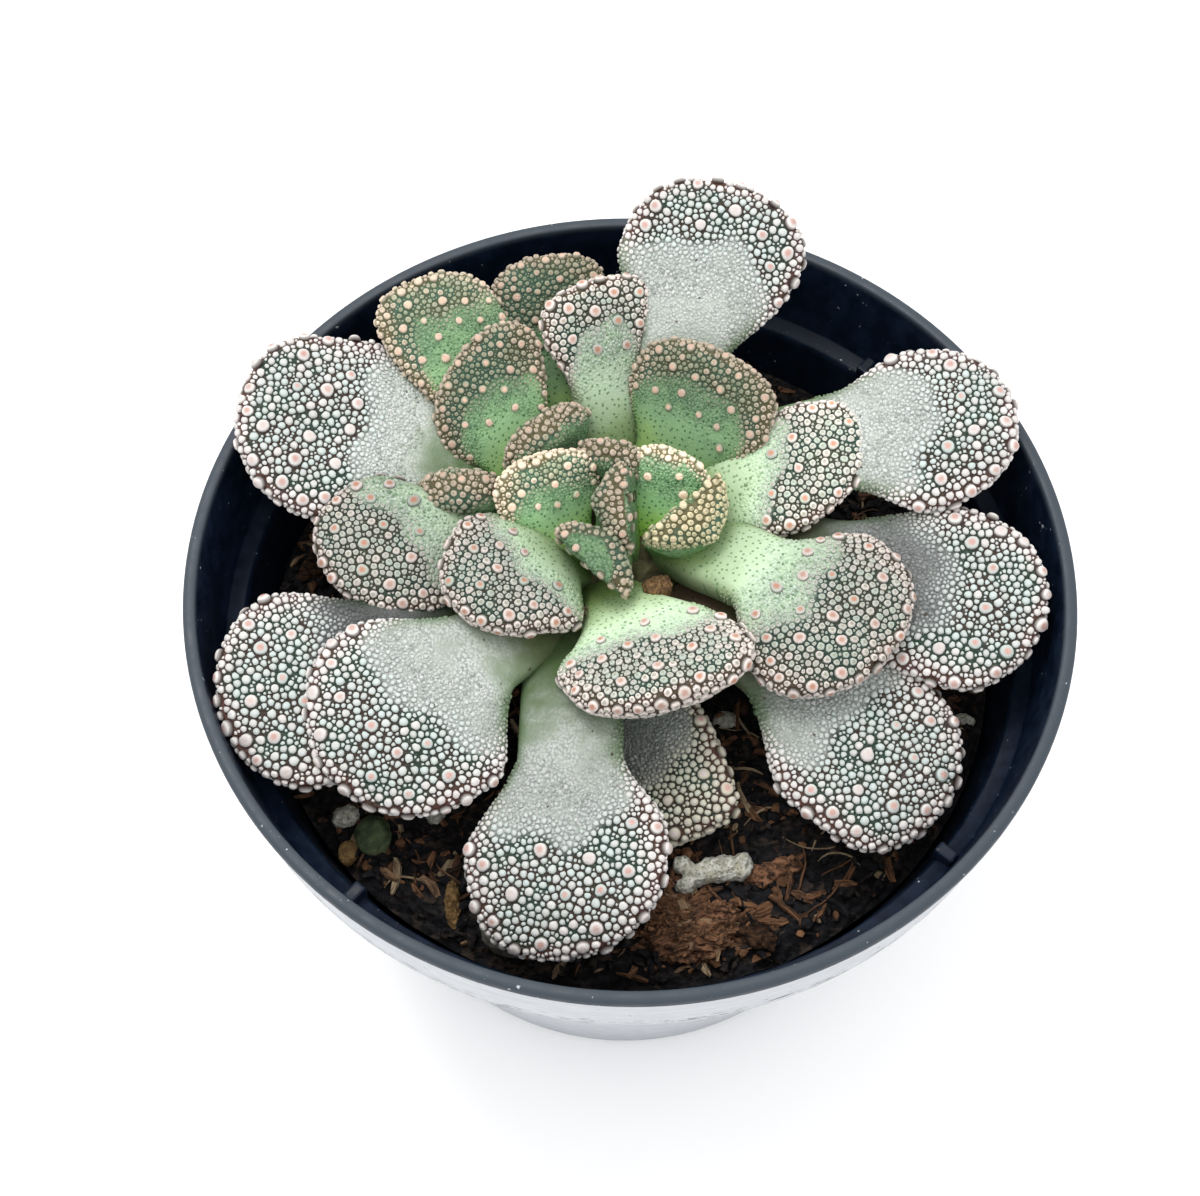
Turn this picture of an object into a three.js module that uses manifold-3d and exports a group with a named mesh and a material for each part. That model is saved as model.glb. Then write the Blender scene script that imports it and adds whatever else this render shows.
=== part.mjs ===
// Potted concrete leaf succulent: a small clump of thick spoon-shaped leaves with warty tips, growing from
// one short stem in dark bark compost, in a round plastic nursery pot.
// Millimetres, +Z up. Origin at the centre of the pot's flat underside. +Y is the back of the plant.

import * as THREE from 'three';
import { mergeVertices } from 'three/addons/utils/BufferGeometryUtils.js';
import Module from 'manifold-3d';

const wasm = await Module();
wasm.setup();

// Pot
const POT_HEIGHT = 62;
const RIM_RADIUS = 45;
const LIP_INNER_RADIUS = 43.7;
const COLLAR_HEIGHT = 10;
const COLLAR_FOOT_RADIUS = 43.9;
const COLLAR_WALL = 1.6;
const LEDGE_INNER_RADIUS = 40.6;
const FOOT_RADIUS = 31;
const WALL = 1.2;
const FLOOR = 2.2;
const POT_SIDES = 40;
const DRAIN_HOLES = 4;
const DRAIN_RADIUS = 3;
const DRAIN_CIRCLE = 19;
const LUG_ANGLES = [-39, 51, 141, 231];
const LUG = { radius: 41.2, length: 2.2, width: 1.4, rise: 2.2 };

// Compost
const SOIL_LEVEL = 46.7;
const SOIL_RISE = 0.8;
const SOIL_LUMP = 0.7;
const SOIL_RINGS = 9;
const SOIL_SIDES = 32;

// Clearance between pieces that touch, and what a plain cutter needs on top of it for its flat facets
const GAP = 0.3;
const FACET_ALLOWANCE = 0.35;

// Leaf rings: rows along the stalk and the spoon, the share of each ring that is on the upper face, and how
// far the face and the back stand off the midrib in half depths
const NECK_ROWS = 3;
const NECK_END = 0.4;
const LAST_ROW = 0.965;
const UPPER_SHARE = 0.6;
const FACE_RISE = 0.75;
const KEELED_FACE_RISE = 0.08;
const BACK_RISE = 1.25;
const KEEL_SHARPNESS = 0.5;
const CUTTER_SIDES = 10;
const CUTTER_ROWS = 5;
const CUTTER_NECK_ROWS = 2;

// Warts on the leaf tips, larger than life
const WART_PITCH = 2.2;
const WART_RISE = 0.8;
const WART_SPREAD = 0.4;
const WART_START = [0.54, 0.68, 0.54];
const WART_FADE_IN = 0.1;
const UNDERSIDE_DELAY = 0.08;

// Stem
const STEM_CENTRE = [-1, 8.5, 48.3];
const STEM_SIZE = [9.5, 11.5, 5.7];

const POT_COLOUR = '#c9cdd2';
const SOIL_COLOUR = '#2b201a';
const STEM_COLOUR = '#7d7b58';
const LEAF_COLOURS = { old: '#b9b9ad', middle: '#9fb096', young: '#77895f', withered: '#4a3f33' };
const LEAF_ROUGHNESS = 0.75;

// Leaves, from the heart outwards. Each is cut clear of the ones above it in this list.
// root and tip are the ends of the midrib, arch is how far its middle is lifted, neck and wide are the
// widths of the stalk and of the spoon, thick is the depth, roll turns the blade about its midrib (degrees).
// face is the way the back of an upright young leaf looks, lean makes one corner of the tip longer, keel
// is how far its back is drawn up into a ridge. warts says where along the leaf the warts begin, on the
// left margin, the midrib and the right margin; flare and shoulder are where the spoon begins and is widest.
const LEAVES = [
  { name: 'leaf_24', age: 'young', root: [-2.4, 4.8, 52], tip: [-4.4, 0.2, 63.3],
    arch: 0.2, neck: 6, wide: 10.5, thick: 6.9, face: 45, keel: 1, blunt: 6, warts: [0.78, 0.82, 0.78] },
  { name: 'leaf_21', age: 'young', root: [0.8, 8.4, 52], tip: [-0.7, 6.9, 65],
    arch: 0.2, neck: 6, wide: 9.8, thick: 6.3, face: 180, keel: 1, blunt: 6, warts: [0.7, 0.86, 0.7] },
  { name: 'leaf_23', age: 'young', root: [3, 9, 52], tip: [6, 6.7, 64.5],
    arch: 0.2, neck: 6, wide: 11, thick: 7.9, face: 315, keel: 1, blunt: 5, warts: [0.66, 0.82, 0.66] },
  { name: 'leaf_20', age: 'young', root: [-6, 6, 52], tip: [-10, 11.6, 64],
    arch: 0.5, neck: 6, wide: 12, thick: 4, lean: -0.15, blunt: 3.5, warts: [0.62, 0.78, 0.62] },
  { name: 'leaf_22', age: 'young', root: [2.5, 9.2, 52], tip: [4.3, 13.3, 63],
    arch: 0.5, neck: 6, wide: 9, thick: 4, face: 70, blunt: 4, warts: [0.78, 0.93, 0.88] },
  { name: 'leaf_27', age: 'young', root: [-2, 13.7, 52], tip: [-2.4, 13.9, 63],
    arch: 0.2, neck: 5.5, wide: 8.5, thick: 3.6, face: 255, warts: [0.75, 0.85, 0.75] },
  { name: 'leaf_26', age: 'young', root: [-8, 14.5, 52], tip: [-9.6, 16.9, 63],
    arch: 0.2, neck: 6.5, wide: 11.5, thick: 4.5, face: 315, warts: [0.75, 0.85, 0.75] },
  { name: 'leaf_25', age: 'young', root: [-12, 9.7, 51], tip: [-20.6, 9.5, 62],
    arch: 0.2, neck: 7, wide: 11, thick: 5, face: 270, warts: [0.6, 0.7, 0.6] },
  { name: 'leaf_19', age: 'middle', root: [-6, 5, 52], tip: [-17.1, -5.2, 62],
    arch: 3, neck: 7, wide: 16, thick: 4.5, roll: 5, flare: 0.2, shoulder: 0.48, lean: 0.05,
    warts: [0.5, 0.6, 0.56] },
  { name: 'leaf_18', age: 'middle', root: [-3, 3, 51], tip: [5, -15.2, 64],
    arch: 1, neck: 8.5, wide: 19.5, thick: 5, roll: -5, lean: -0.2, blunt: 3, warts: [0.6, 0.66, 0.62] },
  { name: 'leaf_17', age: 'middle', root: [3.5, 9.5, 50.5], tip: [25.6, -8.9, 61],
    arch: 4, neck: 9, wide: 20.5, thick: 5, flare: 0.48, shoulder: 0.72, blunt: 2.8, warts: [0.6, 0.7, 0.6] },
  { name: 'leaf_16', age: 'middle', root: [4, 11.3, 51], tip: [24.4, 14.4, 62],
    arch: 3, neck: 9, wide: 13.7, thick: 4.5, roll: -10, lean: -0.4, blunt: 3, warts: [0.6, 0.62, 0.58] },
  { name: 'leaf_15', age: 'young', root: [1.5, 13.5, 51], tip: [9.3, 23.8, 66],
    arch: 0.5, neck: 8, wide: 17.5, thick: 4, lean: 0.1, blunt: 3, warts: [0.5, 0.8, 0.5] },
  { name: 'leaf_14', age: 'middle', root: [-1.8, 15.5, 51], tip: [-5, 32, 67],
    arch: 0.5, neck: 7, wide: 12.5, thick: 4, roll: -10, lean: 0.15, flare: 0.5, shoulder: 0.85, blunt: 3.5,
    warts: [0.55, 0.78, 0.66] },
  { name: 'leaf_12', age: 'young', root: [-9.8, 11.5, 51], tip: [-17.7, 24.7, 65],
    arch: 0.5, neck: 6, wide: 14, thick: 4, roll: 8, lean: 0.4, blunt: 3, warts: [0.5, 0.76, 0.5] },
  { name: 'leaf_10', age: 'middle', root: [-9, 8, 50], tip: [-31.4, 0.4, 60],
    arch: 4, neck: 8, wide: 16, thick: 4.5, roll: 10, lean: 0.15, flare: 0.4, shoulder: 0.7, blunt: 2.8,
    warts: [0.52, 0.62, 0.7] },
  { name: 'leaf_13', age: 'young', root: [-5, 16, 50], tip: [-10.6, 37.5, 64],
    arch: 1, neck: 8, wide: 14, thick: 4, blunt: 4, warts: [0.6, 0.7, 0.6] },
  { name: 'leaf_11', age: 'young', root: [-8.7, 15, 50], tip: [-24.4, 32.1, 66],
    arch: 2, neck: 8, wide: 13.5, thick: 4, roll: 5, lean: -0.2, blunt: 4, warts: [0.5, 0.76, 0.68] },
  { name: 'leaf_07', age: 'old', root: [-6.2, 1.8, 51.2], tip: [-27.6, -23, 58],
    arch: 4, neck: 9.5, wide: 21.4, thick: 4.5, roll: 14, flare: 0.4, shoulder: 0.68, blunt: 2.5,
    warts: [0.58, 0.7, 0.6] },
  { name: 'leaf_06', age: 'old', root: [-5.6, 1, 51.2], tip: [-5.2, -38, 53],
    arch: 4.5, neck: 10.4, wide: 20.6, thick: 4.5, roll: -10, flare: 0.5, shoulder: 0.76, blunt: 2.5,
    lean: 0.12, warts: [0.6, 0.7, 0.68] },
  { name: 'leaf_09', age: 'old', root: [-10, 15.6, 51.2], tip: [-41.1, 16, 65],
    arch: 1.5, neck: 10, wide: 21.8, thick: 4.5, roll: 8, flare: 0.32, shoulder: 0.64,
    warts: [0.56, 0.62, 0.54] },
  { name: 'leaf_01', age: 'old', root: [1, 17, 51], tip: [9.9, 42.3, 71],
    arch: 1.5, neck: 10, wide: 19.5, thick: 4.5, roll: -5, lean: 0.05, flare: 0.45, shoulder: 0.72,
    blunt: 3.2, warts: [0.7, 0.78, 0.6] },
  { name: 'leaf_02', age: 'old', root: [5, 16, 51.2], tip: [39.4, 17, 65.2],
    arch: 3, neck: 10.5, wide: 18, thick: 4.5, roll: -10, flare: 0.5, shoulder: 0.75, blunt: 2.5,
    warts: [0.64, 0.76, 0.64] },
  { name: 'leaf_04', age: 'old', root: [5.5, 3, 51.2], tip: [30.6, -23, 54],
    arch: 3.5, neck: 9, wide: 19.8, thick: 4.5, flare: 0.38, shoulder: 0.7, blunt: 3, lean: 0.08,
    warts: [0.6, 0.66, 0.56] },
  { name: 'leaf_03', age: 'old', root: [6.5, 9, 51.2], tip: [41.4, -4.3, 60],
    arch: 2.5, neck: 10, wide: 19.5, thick: 4.5, roll: -12, flare: 0.4, shoulder: 0.72,
    warts: [0.6, 0.74, 0.6] },
  { name: 'leaf_08', age: 'old', root: [-9, 3.9, 51], tip: [-38.8, -18.4, 59],
    arch: 3, neck: 8, wide: 20, thick: 4.5, roll: 12, lean: -0.1, flare: 0.45, shoulder: 0.75,
    warts: [0.62, 0.72, 0.62] },
  { name: 'leaf_05', age: 'old', root: [-0.8, 1, 49], tip: [6, -24.6, 50.5],
    arch: 1, neck: 9, wide: 14.2, thick: 4, roll: -30, blunt: 6, shoulder: 0.85, warts: [0.45, 0.75, 0.9] },
  { name: 'leaf_28', age: 'withered', root: [-5.9, -0.6, 54], tip: [-6.4, -3.6, 58.5],
    arch: 0.5, neck: 3, wide: 4.5, thick: 1.8 },
];

// Loose pieces on the compost: centre, half sizes, turn about the vertical (degrees).
const PIECES = [
  { name: 'perlite_01', colour: '#b9b7a8', at: [9.1, -26.9, 48], size: [4, 1.9, 1.7], turn: 8, detail: 1 },
  { name: 'perlite_02', colour: '#cfccc0', at: [-28.4, -21.8, 47], size: [1.6, 1.2, 1.1], turn: 20, detail: 0 },
  { name: 'perlite_03', colour: '#cfccc0', at: [-19.2, -21.1, 47], size: [1.4, 1.1, 1], turn: 70, detail: 0 },
  { name: 'perlite_04', colour: '#bdbab0', at: [10.4, -9.8, 47.3], size: [1.5, 1.1, 1], turn: 15, detail: 0 },
  { name: 'perlite_05', colour: '#cfccc0', at: [35.6, -8.7, 46.8], size: [1.3, 0.8, 0.8], turn: -10, detail: 0 },
  { name: 'stone_grey', colour: '#7f7d72', at: [-11.3, -34, 46.9], size: [3, 2, 1.8], turn: -35, detail: 0 },
  { name: 'stone_green', colour: '#5a6a48', at: [-25.4, -23.8, 47], size: [2, 2.4, 1.6], turn: 10, detail: 0 },
  { name: 'stone_ochre', colour: '#8a7347', at: [-27.8, -25.6, 46.8], size: [1.1, 1.4, 1], turn: 0, detail: 0 },
  { name: 'stone_brown', colour: '#8a5a34', at: [2.9, 0.2, 57.6], size: [1.6, 1.5, 1.3], turn: 30, detail: 0 },
  { name: 'bark_01', colour: '#4a3223', at: [7, -33, 47.2], size: [4.6, 3.3, 2], turn: 12, detail: 1 },
  { name: 'bark_02', colour: '#3e2a1d', at: [15.4, -26.3, 47.1], size: [3.4, 1.3, 0.9], turn: 25, detail: 0 },
  { name: 'bark_03', colour: '#3e2a1d', at: [13.4, -32.8, 46.9], size: [2.8, 1.4, 0.9], turn: -30, detail: 0 },
  { name: 'bark_04', colour: '#352419', at: [-34.5, 8, 46.9], size: [3, 1.3, 0.9], turn: 60, detail: 0 },
  { name: 'wood_sliver', colour: '#8b6f45', at: [-16.8, -30.7, 47.1], size: [0.9, 3, 0.8], turn: 6, detail: 0 },
];

function seededRandom(seed) {
  let state = (seed * 7919 + 104729) % 2147483647;
  return () => {
    state = (state * 48271) % 2147483647;
    return state / 2147483647;
  };
}

function ease(x, from, to) {
  return THREE.MathUtils.smoothstep(x, from, to);
}

// A closed triangle mesh with shared vertices and no collapsed triangles.
function closeUp(geometry) {
  const bare = geometry.clone();
  bare.deleteAttribute('normal');
  bare.deleteAttribute('uv');
  const merged = mergeVertices(bare, 1e-4);
  const index = merged.getIndex().array;
  const kept = [];
  for (let i = 0; i < index.length; i += 3) {
    const [a, b, c] = [index[i], index[i + 1], index[i + 2]];
    if (a !== b && b !== c && c !== a) {
      kept.push(a, b, c);
    }
  }
  merged.setIndex(kept);
  return merged;
}

function toSolid(geometry) {
  const closed = closeUp(geometry);
  const vertProperties = new Float32Array(closed.getAttribute('position').array);
  const triVerts = new Uint32Array(closed.getIndex().array);
  return new wasm.Manifold(new wasm.Mesh({ numProp: 3, vertProperties, triVerts }));
}

function toGeometry(solid) {
  const mesh = solid.getMesh();
  const stride = mesh.numProp;
  const positions = [];
  for (let i = 0; i < mesh.vertProperties.length; i += stride) {
    positions.push(mesh.vertProperties[i], mesh.vertProperties[i + 1], mesh.vertProperties[i + 2]);
  }
  const geometry = new THREE.BufferGeometry();
  geometry.setAttribute('position', new THREE.Float32BufferAttribute(positions, 3));
  geometry.setIndex(Array.from(mesh.triVerts));
  geometry.computeVertexNormals();
  return geometry;
}

// The largest body of a solid, without the scraps that a cut leaves.
function largestBody(solid) {
  const bodies = solid.decompose();
  return bodies.reduce((best, body) => (body.volume() > best.volume() ? body : best));
}

function boxesMeet(a, b) {
  const boxA = a.boundingBox();
  const boxB = b.boundingBox();
  return [0, 1, 2].every((k) => boxA.min[k] < boxB.max[k] && boxB.min[k] < boxA.max[k]);
}

function cutClear(solid, cutters) {
  let result = solid;
  for (const cutter of cutters) {
    if (boxesMeet(result, cutter)) {
      result = result.subtract(cutter);
    }
  }
  return largestBody(result);
}

function makeMesh(name, solid, colour, roughness) {
  const material = new THREE.MeshStandardMaterial({ color: colour, roughness, metalness: 0 });
  const mesh = new THREE.Mesh(toGeometry(solid), material);
  mesh.name = name;
  return mesh;
}

// The midrib of a leaf with the frame of its blade: centre, sideways, upward and forward at u from 0 to 1.
function midrib(leaf) {
  const root = new THREE.Vector3(...leaf.root);
  const tip = new THREE.Vector3(...leaf.tip);
  const chord = tip.clone().sub(root);
  const heading = new THREE.Vector3(chord.x, chord.y, 0).normalize();
  if (leaf.face !== undefined) {
    const angle = THREE.MathUtils.degToRad(leaf.face);
    heading.set(Math.cos(angle), Math.sin(angle), 0);
  }
  const across = new THREE.Vector3(heading.y, -heading.x, 0);
  const lift = across.clone().cross(chord.clone().normalize()).normalize();
  const bend = root.clone().add(tip).multiplyScalar(0.5).addScaledVector(lift, 2 * leaf.arch);
  const curve = new THREE.QuadraticBezierCurve3(root, bend, tip);
  const roll = THREE.MathUtils.degToRad(leaf.roll ?? 0);
  return (u) => {
    const forward = curve.getTangent(u);
    const flatUp = across.clone().cross(forward).normalize();
    const flatSide = forward.clone().cross(flatUp);
    const sideways = flatSide.clone().multiplyScalar(Math.cos(roll)).addScaledVector(flatUp, Math.sin(roll));
    const upward = flatUp.clone().multiplyScalar(Math.cos(roll)).addScaledVector(flatSide, -Math.sin(roll));
    return { centre: curve.getPoint(u), sideways, upward, forward };
  };
}

function halfWidth(leaf, u) {
  const shoulder = leaf.shoulder ?? 0.7;
  const spread = ease(u, leaf.flare ?? 0.28, shoulder);
  const stalk = leaf.neck * (0.75 + 0.25 * ease(u, 0, 0.3));
  const end = THREE.MathUtils.clamp((u - shoulder) / (1 - shoulder), 0, 1);
  const width = stalk + (leaf.wide - WART_RISE - leaf.neck) * spread;
  return { spread, value: 0.5 * width * Math.sqrt(1 - end ** (leaf.blunt ?? 2.6)) };
}

function halfDepth(leaf, u) {
  const end = THREE.MathUtils.clamp((u - 0.86) / 0.14, 0, 1);
  return 0.5 * leaf.thick * (0.9 + 0.2 * ease(u, 0, 0.25) - 0.25 * ease(u, 0.3, 0.8)) * Math.sqrt(1 - end ** 2.2);
}

function spoonRows(leaf) {
  const length = new THREE.Vector3(...leaf.tip).distanceTo(new THREE.Vector3(...leaf.root));
  return Math.max(4, Math.round(((LAST_ROW - NECK_END) * length) / WART_PITCH));
}

function leafStations(neckRows, headRows) {
  const stations = [];
  for (let i = 0; i < neckRows; i += 1) {
    stations.push((NECK_END * i) / neckRows);
  }
  for (let i = 0; i <= headRows; i += 1) {
    stations.push(NECK_END + ((LAST_ROW - NECK_END) * i) / headRows);
  }
  return stations;
}

// Where warts grow: the spoon's face from its middle on, a little further down its margins.
function wartCover(leaf, u, c, s) {
  const [left, middle, right] = leaf.warts ?? WART_START;
  const margin = c > 0 ? right : left;
  const start = middle + (margin - middle) * c * c + (s < -0.3 ? UNDERSIDE_DELAY : 0);
  return ease(u, start, start + WART_FADE_IN);
}

// Angle round a ring: more of the points lie on the upper face than on the underside.
function ringAngle(side, sides) {
  const upper = Math.round(sides * UPPER_SHARE);
  return side < upper ? (Math.PI * side) / upper : Math.PI + (Math.PI * (side - upper)) / (sides - upper);
}

// A leaf's section as a share of its half depth: a nearly flat face, and a back that is round or keeled.
function faceHeight(leaf, s) {
  return THREE.MathUtils.lerp(FACE_RISE, KEELED_FACE_RISE, leaf.keel ?? 0) * s ** 0.8;
}

function backHeight(leaf, x, s) {
  const round = Math.abs(s) ** 0.95;
  const ridge = 1 - Math.abs(x) ** 1.1;
  return -BACK_RISE * THREE.MathUtils.lerp(round, ridge, KEEL_SHARPNESS * (leaf.keel ?? 0));
}

// Rings of points round the midrib, joined into one closed skin and moved out along its normals by what
// rise says: for each point, its row and side, how far along the leaf it is and which way it faces.
function leafSkin(leaf, neckRows, headRows, sides, rise) {
  const frame = midrib(leaf);
  const stations = leafStations(neckRows, headRows);
  const points = [];
  const rises = [];
  stations.forEach((u, row) => {
    const { centre, sideways, upward, forward } = frame(u);
    const { spread, value: width } = halfWidth(leaf, u);
    const depth = halfDepth(leaf, u);
    for (let side = 0; side < sides; side += 1) {
      const angle = ringAngle(side, sides);
      const c = Math.cos(angle);
      const s = Math.sin(angle);
      const x = Math.sign(c) * Math.abs(c) ** 0.8;
      const z = s > 0 ? faceHeight(leaf, s) : backHeight(leaf, x, s);
      const point = centre.clone().addScaledVector(sideways, width * x).addScaledVector(upward, depth * z);
      point.addScaledVector(forward, (leaf.lean ?? 0) * spread * width * x);
      points.push(point);
      rises.push(rise(row, side, wartCover(leaf, u, c, s)));
    }
  });
  const rootPoint = points.length;
  points.push(frame(0).centre.addScaledVector(frame(0).forward, -0.5), frame(1).centre);
  rises.push(rise(1, 0, 0), rise(1, 0, 0));
  const index = [];
  const rows = stations.length;
  const at = (row, side) => row * sides + (side % sides);
  for (let row = 0; row < rows - 1; row += 1) {
    for (let side = 0; side < sides; side += 1) {
      const [a, b, c, d] = [at(row, side), at(row, side + 1), at(row + 1, side + 1), at(row + 1, side)];
      if ((row + side) % 2 === 0) {
        index.push(a, d, b, b, d, c);
      } else {
        index.push(a, c, b, a, d, c);
      }
    }
  }
  for (let side = 0; side < sides; side += 1) {
    index.push(rootPoint, at(0, side), at(0, side + 1));
    index.push(rootPoint + 1, at(rows - 1, side + 1), at(rows - 1, side));
  }
  const geometry = new THREE.BufferGeometry().setFromPoints(points);
  geometry.setIndex(index);
  geometry.computeVertexNormals();
  const normals = geometry.getAttribute('normal');
  const moved = points.map((point, i) => {
    const normal = new THREE.Vector3().fromBufferAttribute(normals, i);
    return point.clone().addScaledVector(normal, rises[i]);
  });
  geometry.setFromPoints(moved);
  return toSolid(geometry);
}

// One leaf: every other point of the spoon is raised into a wart.
function leafSolid(leaf, seed) {
  const random = seededRandom(seed);
  const sides = 2 * Math.round((0.45 * leaf.wide * 2) / WART_PITCH);
  return leafSkin(leaf, NECK_ROWS, spoonRows(leaf), sides, (row, side, cover) => {
    const size = 1 + WART_SPREAD * (2 * random() - 1);
    return (row + side) % 2 === 0 ? WART_RISE * size * cover : 0;
  });
}

// The same leaf without its warts and grown outwards, to cut its neighbours with.
function leafCutter(leaf) {
  const wartReach = WART_RISE * (1 + WART_SPREAD);
  return leafSkin(leaf, CUTTER_NECK_ROWS, CUTTER_ROWS, CUTTER_SIDES,
    (row, side, cover) => GAP + FACET_ALLOWANCE + wartReach * Math.min(1, 3 * cover));
}

function potSolid() {
  const ledge = POT_HEIGHT - COLLAR_HEIGHT;
  const collarInner = COLLAR_FOOT_RADIUS - COLLAR_WALL;
  const innerFoot = FOOT_RADIUS - WALL;
  const profile = [
    [0, 0],
    [FOOT_RADIUS - 0.6, 0],
    [FOOT_RADIUS, 0.6],
    [LEDGE_INNER_RADIUS + WALL, ledge - 2],
    [COLLAR_FOOT_RADIUS, ledge - 0.4],
    [RIM_RADIUS - 0.5, POT_HEIGHT - 1.8],
    [RIM_RADIUS, POT_HEIGHT - 1.3],
    [RIM_RADIUS, POT_HEIGHT - 0.4],
    [RIM_RADIUS - 0.3, POT_HEIGHT],
    [LIP_INNER_RADIUS + 0.2, POT_HEIGHT],
    [LIP_INNER_RADIUS, POT_HEIGHT - 0.3],
    [collarInner, ledge],
    [LEDGE_INNER_RADIUS, ledge - 0.5],
    [LEDGE_INNER_RADIUS - 0.2, ledge - 1.5],
    [innerFoot, FLOOR],
    [0, FLOOR],
  ].map(([radius, height]) => new THREE.Vector2(radius, height));
  let pot = toSolid(new THREE.LatheGeometry(profile, POT_SIDES).rotateX(Math.PI / 2));
  if (pot.volume() < 0) {
    throw new Error('the pot profile runs the wrong way round');
  }
  for (const degrees of LUG_ANGLES) {
    const lug = new THREE.BoxGeometry(LUG.length, LUG.width, LUG.rise);
    lug.translate(LUG.radius, 0, ledge - 0.5 + LUG.rise / 2 - 0.4);
    lug.rotateZ(THREE.MathUtils.degToRad(degrees));
    pot = pot.add(toSolid(lug));
  }
  for (let i = 0; i < DRAIN_HOLES; i += 1) {
    const hole = new THREE.CylinderGeometry(DRAIN_RADIUS, DRAIN_RADIUS, 4 * FLOOR, 12).rotateX(Math.PI / 2);
    hole.translate(DRAIN_CIRCLE, 0, 0);
    hole.rotateZ(((i + 0.5) * 2 * Math.PI) / DRAIN_HOLES);
    pot = pot.subtract(toSolid(hole));
  }
  return pot;
}

// The compost fills the pot below its ledge, with a lumpy top that rises a little towards the stem.
function soilSolid() {
  const random = seededRandom(500);
  const innerFoot = FOOT_RADIUS - WALL;
  const slope = (LEDGE_INNER_RADIUS - 0.2 - innerFoot) / (POT_HEIGHT - COLLAR_HEIGHT - 1.5 - FLOOR);
  const foot = FLOOR + GAP;
  const topRadius = innerFoot + slope * (SOIL_LEVEL - 1.5 - FLOOR) - 1.3 * GAP;
  const rings = [{ radius: innerFoot - GAP, height: foot, lump: 0 }];
  for (let i = 0; i < SOIL_RINGS; i += 1) {
    const radius = topRadius * (1 - i / SOIL_RINGS);
    rings.push({ radius, height: SOIL_LEVEL - 1.5 + Math.min(1, i) * 1.5, lump: i === 0 ? 0 : SOIL_LUMP });
  }
  const points = [];
  for (const ring of rings) {
    for (let side = 0; side < SOIL_SIDES; side += 1) {
      const angle = (2 * Math.PI * side) / SOIL_SIDES;
      const mound = ring.lump > 0 ? SOIL_RISE * (1 - (ring.radius / topRadius) ** 2) : 0;
      const lump = ring.lump * (2 * random() - 1);
      points.push(new THREE.Vector3(
        ring.radius * Math.cos(angle), ring.radius * Math.sin(angle), ring.height + mound + lump));
    }
  }
  const footCentre = points.length;
  points.push(new THREE.Vector3(0, 0, foot), new THREE.Vector3(0, 0, SOIL_LEVEL + SOIL_RISE));
  const index = [];
  const at = (row, side) => row * SOIL_SIDES + (side % SOIL_SIDES);
  for (let side = 0; side < SOIL_SIDES; side += 1) {
    for (let row = 0; row < rings.length - 1; row += 1) {
      index.push(at(row, side), at(row, side + 1), at(row + 1, side + 1));
      index.push(at(row, side), at(row + 1, side + 1), at(row + 1, side));
    }
    index.push(footCentre, at(0, side + 1), at(0, side));
    index.push(footCentre + 1, at(rings.length - 1, side), at(rings.length - 1, side + 1));
  }
  const geometry = new THREE.BufferGeometry().setFromPoints(points);
  geometry.setIndex(index);
  return toSolid(geometry);
}

function stemSolid(clearance) {
  const ball = new THREE.SphereGeometry(1, 14, 8);
  ball.scale(...STEM_SIZE.map((half) => half + clearance));
  ball.translate(...STEM_CENTRE);
  return toSolid(ball);
}

// A rough crumb: a ball of few faces, its corners moved in and out, squashed to its size.
function pieceSolid(piece, seed, clearance) {
  const random = seededRandom(seed);
  const ball = closeUp(new THREE.IcosahedronGeometry(1, piece.detail));
  const position = ball.getAttribute('position');
  for (let i = 0; i < position.count; i += 1) {
    const reach = 0.8 + 0.35 * random();
    position.setXYZ(i,
      position.getX(i) * (reach * piece.size[0] + clearance),
      position.getY(i) * (reach * piece.size[1] + clearance),
      position.getZ(i) * (reach * piece.size[2] + clearance));
  }
  ball.rotateZ(THREE.MathUtils.degToRad(piece.turn));
  ball.translate(...piece.at);
  return toSolid(ball);
}

const group = new THREE.Group();

const leafCutters = [];
LEAVES.forEach((leaf, i) => {
  const solid = cutClear(leafSolid(leaf, i + 1), leafCutters);
  leafCutters.push(leafCutter(leaf));
  group.add(makeMesh(leaf.name, solid, LEAF_COLOURS[leaf.age], LEAF_ROUGHNESS));
});

const stem = cutClear(stemSolid(0), leafCutters);
group.add(makeMesh('stem', stem, STEM_COLOUR, 0.8));

const stemCutters = [...leafCutters, stemSolid(GAP)];
const pieceCutters = [];
PIECES.forEach((piece, i) => {
  const solid = cutClear(pieceSolid(piece, i + 100, 0), [...stemCutters, ...pieceCutters]);
  pieceCutters.push(pieceSolid(piece, i + 100, GAP));
  group.add(makeMesh(piece.name, solid, piece.colour, 0.9));
});

group.add(makeMesh('soil', cutClear(soilSolid(), [...stemCutters, ...pieceCutters]), SOIL_COLOUR, 0.95));
group.add(makeMesh('pot', potSolid(), POT_COLOUR, 0.5));

export default group;
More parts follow.
